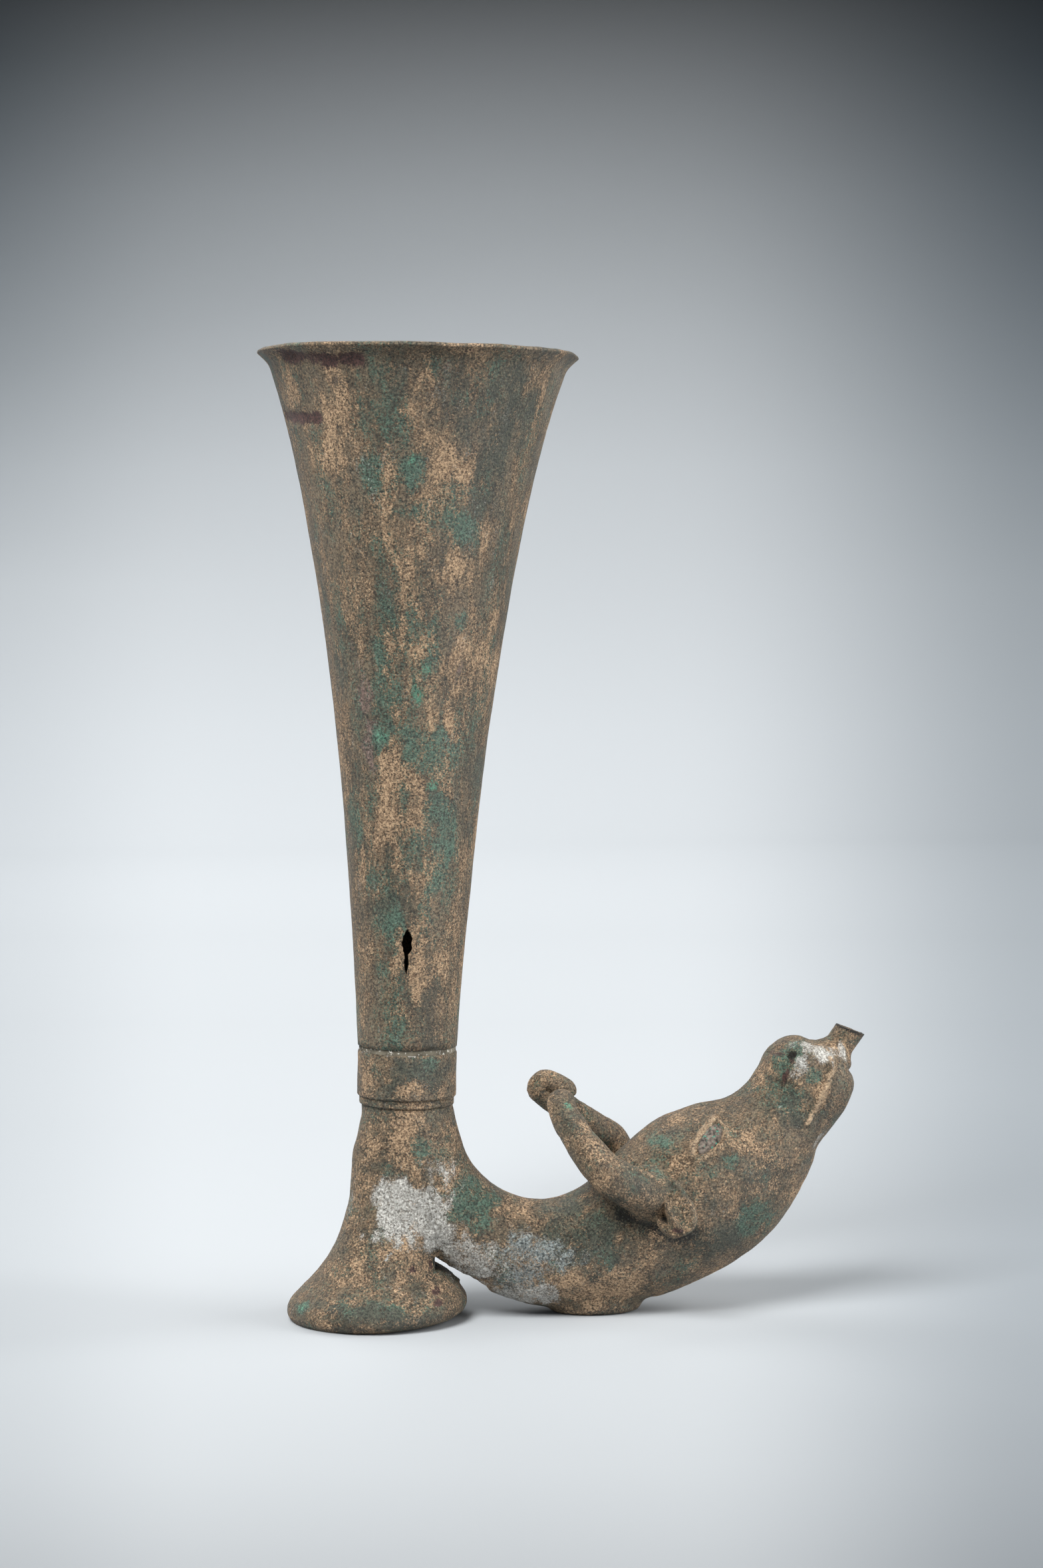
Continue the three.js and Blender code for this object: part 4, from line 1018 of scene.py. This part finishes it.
# %% Dab the patches on
RARE = ("malachite", "mauve", "cuprite", "bloom_and_highlight", "grey_bloom", "crust_and_highlight")
NEAR_SIDE = 0.2
DRAWN_DOWN = (1, 1, 0.55)
DAB_WOBBLE, STROKE_WOBBLE = np.array((0.75, 0.375, 0.75)), 0.3
DAB_END, LEAST_DEEP = 1.55, 2.5


def dab(piece):
    """Writes each kind of crust on a piece's points. The visible side gets fewer random patches."""
    found = points_of(piece)
    near = np.clip(0.5 - 1.2 * read(piece, "normal")[:, 1], 0, 1)
    wobble = np.stack([lumpy(found * DRAWN_DOWN, (1, 7, k), (0.6, 2.6, k + 4)) for k in (91, 92, 93)], axis=1)
    for kind in {**DABS, **STROKES}:
        amount = np.zeros(len(found))
        for x, y, z, half_wide, half_tall, *strength in DABS.get(kind, ()):
            size = np.array((half_wide, max(half_wide, LEAST_DEEP), half_tall))
            away = np.linalg.norm((found - (x, y, z)) / size + DAB_WOBBLE * wobble, axis=1)
            share = np.clip(DAB_END - away, 0, 1)
            amount = np.maximum(amount, share * share * (3 - 2 * share) * (strength or [1])[0])
        for way, radius, strength in STROKES.get(kind, ()):
            shifted = found + STROKE_WOBBLE * radius * wobble
            amount = np.maximum(amount, strength * swell(reach(shifted, way), radius))
        if kind in RARE:
            amount -= NEAR_SIDE * near
        painted = piece.data.attributes.new(kind, "FLOAT", "POINT")
        painted.data.foreach_set("value", amount.astype(np.float32))


for piece in (
    beaker, collar, casting, head, right_horn, left_horn, right_ear, left_ear, spout, lower_filler,
):
    dab(piece)
print("kinds of crust:", ", ".join({**DABS, **STROKES}))

# %% [markdown]
# ## Materials
# Patinated bronze: the metal itself hardly shows. What the eye gets is a dull mineral crust, so Metallic is
# nil and the roughness high. Film, patches and grains lie on each other in the order in which they grew, so
# the crust is written as a list of layers, from the lowest to the top.

# %% Layers of the crust
# darker and lighter colour of the earthy film under everything
FILM = ("281f15", "917f65")
# kind, darker and lighter colour, patch and grain size in mm, weight of grain against patch,
# share of the surface covered away from its dabs and on them, softness of the edge;
# where a number is None, each bronze has its own
LAYERS = (
    ("olive", "191710", "625b49", 15, 0.5, 0.4, None, None, 0.6),
    ("mauve", "412c26", "9c8176", 12, 0.5, 0.5, 0.02, 0.9, 0.6),
    ("green", "15221b", "678470", 12, 0.55, 0.8, None, 0.8, 0.7),
    ("dark", "181c15", "5b5d4e", 22, 0.5, 0.6, 0.05, 0.8, 0.8),
    ("tan", "5a432e", "dab892", 10, 0.5, None, None, 0.8, 0.75),
    ("grey_bloom", "414949", "b8c0bd", 7, 0.45, 0.8, 0.01, 0.8, 1.5),
    # bloom and crust also carry the painted highlight on the muzzle
    ("bloom_and_highlight", "7c766b", "f5f2ea", 8, 0.45, 0.8, 0.01, 0.96, 1.4),
    ("malachite", "245040", "76ac8f", 5, 0.5, 1.3, 0.008, 0.7, 0.6),
    ("cuprite", "1b0e0c", "6c4b43", 6, 0.55, 0.6, 0.01, 0.97, 0.5),
    ("worn", "90745a", "e0c4a0", 5, 0.45, 0.8, 0.004, 0.96, 0.8),
    ("pits", "0e0c09", "2a241b", 9, 0.55, 2.0, 0.04, 0.95, 0.3),
    ("crust_and_highlight", "aaa59a", "f6f4ee", 4, 0.45, 0.9, 0.012, 0.8, 0.6),
)
# how strongly one kind of crust keeps another away, or brings it
NEIGHBOURS = {"tan": {"green": -0.9, "dark": -0.8, "mauve": -1.8}, "malachite": {"green": 0.7}}
# kinds that stand up from the surface, and by how much of the grit's height
RAISED, RAISED_BY = ("tan", "crust_and_highlight"), 0.5
# Blender's noise lies about 0.5, with these spreads for patches and for grains
PATCH_SPREAD, GRAIN_SPREAD = 0.058, 0.073
# grit in mm and its relief, both coarser than on the real crust, where they would be too fine to show
GRIT, GRIT_RELIEF = 0.7, 0.8
bell_curve = statistics.NormalDist()
print("layers:", ", ".join(row[0] for row in LAYERS))

# %% [markdown]
# Each layer is shown where a slow noise, a ragged noise and its dabs add up to enough. The values of a noise
# lie about as a bell curve does, so the share that a layer covers tells where its edge is. One fine grit
# gives every layer its tones from darker to lighter, and the relief as well, so that light grains stand up.
# On the raised beaker the patches run down the wall, where water ran, so there the slow noise is stretched.

# %% Patinated bronze
def new_material(name):
    """A new material, its nodes and its shader."""
    material = bpy.data.materials.new(name)
    material.use_nodes = True
    return material, material.node_tree, material.node_tree.nodes["Principled BSDF"]


def patina(name, streak, sand, own_shares):
    """Crusted bronze: streak is how much longer than wide patches run down, sand how loose its grains lie."""
    material, tree, shader = new_material(name)
    spot = add(tree, "TexCoord", give="Object")
    run = add(tree, "Mapping", {"Vector": spot, "Scale": (1, 1, 1 / streak)})
    height = add(tree, "TexNoise", {"Vector": spot, "Scale": 1 / (GRIT * MM), "Detail": 5, "Roughness": 0.75})
    spread = add(tree, "MapRange", {"Value": height, "From Min": 0.39, "From Max": 0.61})
    colour = add(tree, "Mix", {0: spread, 6: paint(FILM[0]), 7: paint(FILM[1])}, data_type="RGBA")
    masks = {}
    for number, row in enumerate(LAYERS, 1):
        kind, darker, lighter, patch_mm, grain_mm, loose, bare_share, dab_share, soft = row
        loose = sand if loose is None else loose
        bare_share = own_shares.get(kind, bare_share)
        bare_edge = bell_curve.inv_cdf(1 - bare_share)
        dab_lift = bare_edge - bell_curve.inv_cdf(1 - (dab_share or bare_share))
        shift = (0.37 * number, 0.11 * number, 0.23 * number)
        patch = add(tree, "TexNoise", {
            "Vector": add(tree, "Mapping", {"Vector": run, "Location": shift}),
            "Scale": 1 / (patch_mm * MM), "Detail": 7, "Roughness": 0.8,
        })
        grain = add(tree, "TexNoise", {
            "Vector": spot, "Scale": 1 / (grain_mm * MM), "Detail": 4, "Roughness": 0.7,
        })
        both = add(tree, "Math", {0: grain, 1: loose, 2: patch}, operation="MULTIPLY_ADD")
        middle = 0.5 + 0.5 * loose
        sigma = math.hypot(PATCH_SPREAD, GRAIN_SPREAD * loose)
        total = add(tree, "MapRange", {
            "Value": both, "From Min": middle, "From Max": middle + sigma,
        }, clamp=False)
        dabs = add(tree, "Attribute", give="Fac", attribute_name=kind)
        total = add(tree, "Math", {0: dabs, 1: dab_lift, 2: total}, operation="MULTIPLY_ADD")
        for other, strength in NEIGHBOURS.get(kind, {}).items():
            total = add(tree, "Math", {0: masks[other], 1: strength, 2: total}, operation="MULTIPLY_ADD")
        mask = masks[kind] = add(tree, "MapRange", {
            "Value": total, "From Min": bare_edge - soft, "From Max": bare_edge + soft,
        }, interpolation_type="SMOOTHSTEP")
        tone = add(tree, "Mix", {0: spread, 6: paint(darker), 7: paint(lighter)}, data_type="RGBA")
        colour = add(tree, "Mix", {0: mask, 6: colour, 7: tone}, data_type="RGBA")
        if kind in RAISED:
            height = add(tree, "Math", {0: mask, 1: RAISED_BY, 2: height}, operation="MULTIPLY_ADD")
    rough = add(tree, "MapRange", {
        "Value": height, "From Min": 0.3, "From Max": 1.2, "To Min": 0.46, "To Max": 0.86,
    })
    relief = add(tree, "Bump", {"Strength": 1, "Distance": GRIT_RELIEF * MM, "Height": height})
    for socket, source in (("Base Color", colour), ("Roughness", rough), ("Normal", relief)):
        tree.links.new(source, shader.inputs[socket])
    shader.inputs["Specular IOR Level"].default_value = 0.5
    print(name, "nodes:", len(tree.nodes))
    return material


raised_bronze = patina(
    "raised_sheet_bronze_patinated", 2.6, 0.75, {"olive": 0.42, "green": 0.13, "tan": 0.25},
)
cast_bronze = patina("cast_bronze_patinated", 1.0, 0.85, {"olive": 0.38, "green": 0.1, "tan": 0.36})

# %% [markdown]
# Soft solder and lead go dull grey and bloom white where they corrode. The inlay has weathered to a grey
# mauve with green specks. They are simpler: a slow noise chooses between two colours, and a fine one strews
# specks of a third over them.

# %% Solder, lead and inlay
# name, darker, lighter and speck colour, size of clouds and specks in mm, noise where specks begin, roughness
SIMPLE = (
    ("lead_tin_solder_corroded", "4a453a", "736c5d", "c0bbb0", 3, 0.8, 0.6, 0.85),
    ("lead_poured_oxidised", "6a6964", "8f8d86", "cfcbc2", 6, 1.4, 0.58, 0.8),
    ("eye_inlay_weathered", "241f1a", "776b60", "437a68", 1.0, 0.9, 0.6, 0.7),
)
simple = {}
for name, darker, lighter, speck, cloud_mm, speck_mm, speck_from, roughness in SIMPLE:
    simple[name], tree, shader = new_material(name)
    spot = add(tree, "TexCoord", give="Object")
    cloud = add(tree, "TexNoise", {"Vector": spot, "Scale": 1 / (cloud_mm * MM), "Detail": 5})
    dots = add(tree, "TexNoise", {"Vector": spot, "Scale": 1 / (speck_mm * MM), "Detail": 2})
    spread = add(tree, "MapRange", {"Value": cloud, "From Min": 0.36, "From Max": 0.64})
    body = add(tree, "Mix", {0: spread, 6: paint(darker), 7: paint(lighter)}, data_type="RGBA")
    shown = add(tree, "MapRange", {"Value": dots, "From Min": speck_from, "From Max": speck_from + 0.06})
    look = add(tree, "Mix", {0: shown, 6: body, 7: paint(speck)}, data_type="RGBA")
    relief = add(tree, "Bump", {"Strength": 0.6, "Distance": 0.15 * MM, "Height": dots})
    tree.links.new(look, shader.inputs["Base Color"])
    tree.links.new(relief, shader.inputs["Normal"])
    shader.inputs["Roughness"].default_value = roughness
    shader.inputs["Specular IOR Level"].default_value = 0.35
print("simple materials:", ", ".join(simple))

# %% [markdown]
# Matt studio paper is pale in the middle of the set and falls off to the sides, to the front and above all to
# the top, as in any picture lit with a lamp over the object. That falloff is painted shade: the paper's tone
# is drawn by bearing and elevation from the camera's spot. A weak glow, for the eye only, is painted light
# that lifts the far curve, which the lamps hardly reach. Behind the camera's spot the paper is plain.

# %% Paper of the sweep
PAPER = np.array(paint("c8cccf")[:3])
# elevation in degrees, then painted shade as a tone and painted light as a glow, both as shares of the
# paper's colour
PAPER_TONES = (
    (-17, 0.46, 0), (-15, 0.59, 0), (-13.3, 0.66, 0), (-11.6, 0.73, 0), (-9.3, 0.77, 0), (-7.5, 0.8, 0.055),
    (-6, 0.81, 0.209), (-4.5, 0.82, 0.509), (-2.5, 0.82, 0.427), (-0.2, 0.83, 0.282), (2, 0.82, 0.182),
    (4.3, 0.75, 0.055), (6.6, 0.58, 0), (9.9, 0.17, 0),
)
LOWEST, HIGHEST = -17, 10
PLAIN_TONE, PLAIN_GLOW = 0.7, 0.16
# metres ahead of the camera's spot
PLAIN_UNTIL, DRAWN_FROM = 0.15, 0.7
# bearing in degrees where the painted shade of the sides begins and ends to change, and the paper's tone at
# both
SIDE_TONES = ((2.5, 9.5, 1, 0.55), (-9.5, -5.5, 0.85, 1))
CORNER_TOP, CORNER_FALL = math.radians(9), -24
COOL_SHADE, WHITE = paint("003f55"), paint("ffffff")
paper, tree, shader = new_material("matt_studio_paper")
spot = add(tree, "TexCoord", give="Object")
sight = add(tree, "VectorMath", {0: spot, 1: CAMERA_SPOT}, operation="SUBTRACT")
heading = math.atan2(LOOK.x, LOOK.y)
ahead = add(tree, "VectorRotate", {"Vector": sight, "Angle": heading}, rotation_type="Z_AXIS")
right, forward, up = add(tree, "SeparateXYZ", {0: ahead}).node.outputs
bearing = add(tree, "Math", {0: right, 1: forward}, operation="ARCTAN2")
lift = add(tree, "Math", {0: up, 1: forward}, operation="ARCTAN2")
rise = add(tree, "MapRange", {
    "Value": lift, "From Min": math.radians(LOWEST), "From Max": math.radians(HIGHEST),
})
# painted shade: the paper darkens towards the top corners and to the sides, with a cool tint
corner = add(tree, "Math", {0: bearing, 1: bearing}, operation="MULTIPLY")
upper = add(tree, "MapRange", {"Value": lift, "From Min": 0, "From Max": CORNER_TOP, "To Max": CORNER_FALL})
fall = add(tree, "Math", {0: corner, 1: upper, 2: 1}, operation="MULTIPLY_ADD")
for low, high, tone_low, tone_high in SIDE_TONES:
    side = add(tree, "MapRange", {
        "Value": bearing, "From Min": math.radians(low), "From Max": math.radians(high),
        "To Min": tone_low, "To Max": tone_high,
    }, interpolation_type="SMOOTHSTEP")
    fall = add(tree, "Math", {0: fall, 1: side}, operation="MULTIPLY", use_clamp=True)
cool = add(tree, "Mix", {0: fall, 6: COOL_SHADE, 7: WHITE}, data_type="RGBA")
in_front = add(tree, "MapRange", {
    "Value": forward, "From Min": PLAIN_UNTIL, "From Max": DRAWN_FROM,
}, interpolation_type="SMOOTHSTEP")
for column, plain, socket in ((1, PLAIN_TONE, "Base Color"), (2, PLAIN_GLOW, "Emission Color")):
    ramp = add(tree, "ValToRGB", {"Fac": rise})
    stops = ramp.node.color_ramp.elements
    while len(stops) < len(PAPER_TONES):
        stops.new(0.5)
    for stop, row in zip(stops, PAPER_TONES):
        stop.position = (row[0] - LOWEST) / (HIGHEST - LOWEST)
        stop.color = (*(PAPER * row[column]), 1)
    drawn = add(tree, "Mix", {0: 1, 6: ramp, 7: cool}, data_type="RGBA", blend_type="MULTIPLY")
    shown = add(tree, "Mix", {0: in_front, 6: (*(PAPER * plain), 1), 7: drawn}, data_type="RGBA")
    tree.links.new(shown, shader.inputs[socket])
seen = seen_rays(tree)
tree.links.new(seen, shader.inputs["Emission Strength"])
shader.inputs["Roughness"].default_value = 0.9
shader.inputs["Specular IOR Level"].default_value = 0.2
sweep.data.materials.append(paper)
print("paper nodes:", len(tree.nodes))

# %% [markdown]
# Seen from the side, the paper would end in a hard line, with dark floor behind the lamps. There the eye gets
# the plain sky instead, from about a metre off the horn and well away from the camera's line of sight.

# %% Sky instead of paper far off to the sides
FADE_FROM, FADE_TO = 0.9, 2.0
SIDE_FROM, SIDE_TO = math.radians(12), math.radians(26)
flat = add(tree, "VectorMath", {0: spot, 1: (1, 1, 0)}, operation="MULTIPLY")
away = add(tree, "VectorMath", {0: flat}, operation="LENGTH")
turned = add(tree, "Math", {0: bearing}, operation="ABSOLUTE")
gone = seen
for value, start, end in ((away, FADE_FROM, FADE_TO), (turned, SIDE_FROM, SIDE_TO)):
    share = add(tree, "MapRange", {
        "Value": value, "From Min": start, "From Max": end,
    }, interpolation_type="SMOOTHSTEP")
    gone = add(tree, "Math", {0: gone, 1: share}, operation="MULTIPLY")
plain_sky = add(tree, "Emission", {"Color": SKY_SEEN})
faded = add(tree, "MixShader", {0: gone, 1: shader.outputs["BSDF"], 2: plain_sky})
tree.links.new(faded, tree.nodes["Material Output"].inputs["Surface"])
print("paper nodes with the sky:", len(tree.nodes))

# %% [markdown]
# ## Materials and bodies
# Every piece gets its material, rides on the one body of the part, and says which solids it stands for.

# %% Materials and bodies
HAND_OVER = (
    (beaker, raised_bronze, "patinated_bronze", ("beaker",)),
    (collar, cast_bronze, "patinated_bronze", ("collar",)),
    (upper_filler, simple["lead_tin_solder_corroded"], "lead_tin_solder", ("upper_collar_solder",)),
    (lower_filler, cast_bronze, "lead_tin_solder", ("lower_collar_solder",)),
    (casting, cast_bronze, "patinated_bronze", ("elbow", "foot", "chest_pad")),
    (lead, simple["lead_poured_oxidised"], "lead_tin_solder", ("foot_lead_bed",)),
    (head, cast_bronze, "patinated_bronze", ("head",)),
    (spout, cast_bronze, "patinated_bronze", ("spout",)),
    (right_horn, cast_bronze, "patinated_bronze", ("right_horn",)),
    (left_horn, cast_bronze, "patinated_bronze", ("left_horn",)),
    (right_ear, cast_bronze, "patinated_bronze", ("right_ear",)),
    (left_ear, cast_bronze, "patinated_bronze", ("left_ear",)),
    (right_eye, simple["eye_inlay_weathered"], "eye_inlay", ("right_eye",)),
    (left_eye, simple["eye_inlay_weathered"], "eye_inlay", ("left_eye",)),
)
for piece, material, slot, nodes in HAND_OVER:
    piece.data.materials.clear()
    piece.data.materials.append(material)
    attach(piece, "root")
    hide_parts(*nodes)
    print(piece.name, "stands for", ", ".join(nodes))

# %% [markdown]
# Last, the size of the dressed part is written beside the size of the solids, so that the two can be
# compared.

# %% Sizes, and the end
low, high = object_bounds()
{"cad": [list(cad_low), list(cad_high)], "visual": [list(low), list(high)]}
print("visual size in mm:", [round(1000 * side, 1) for side in high - low])
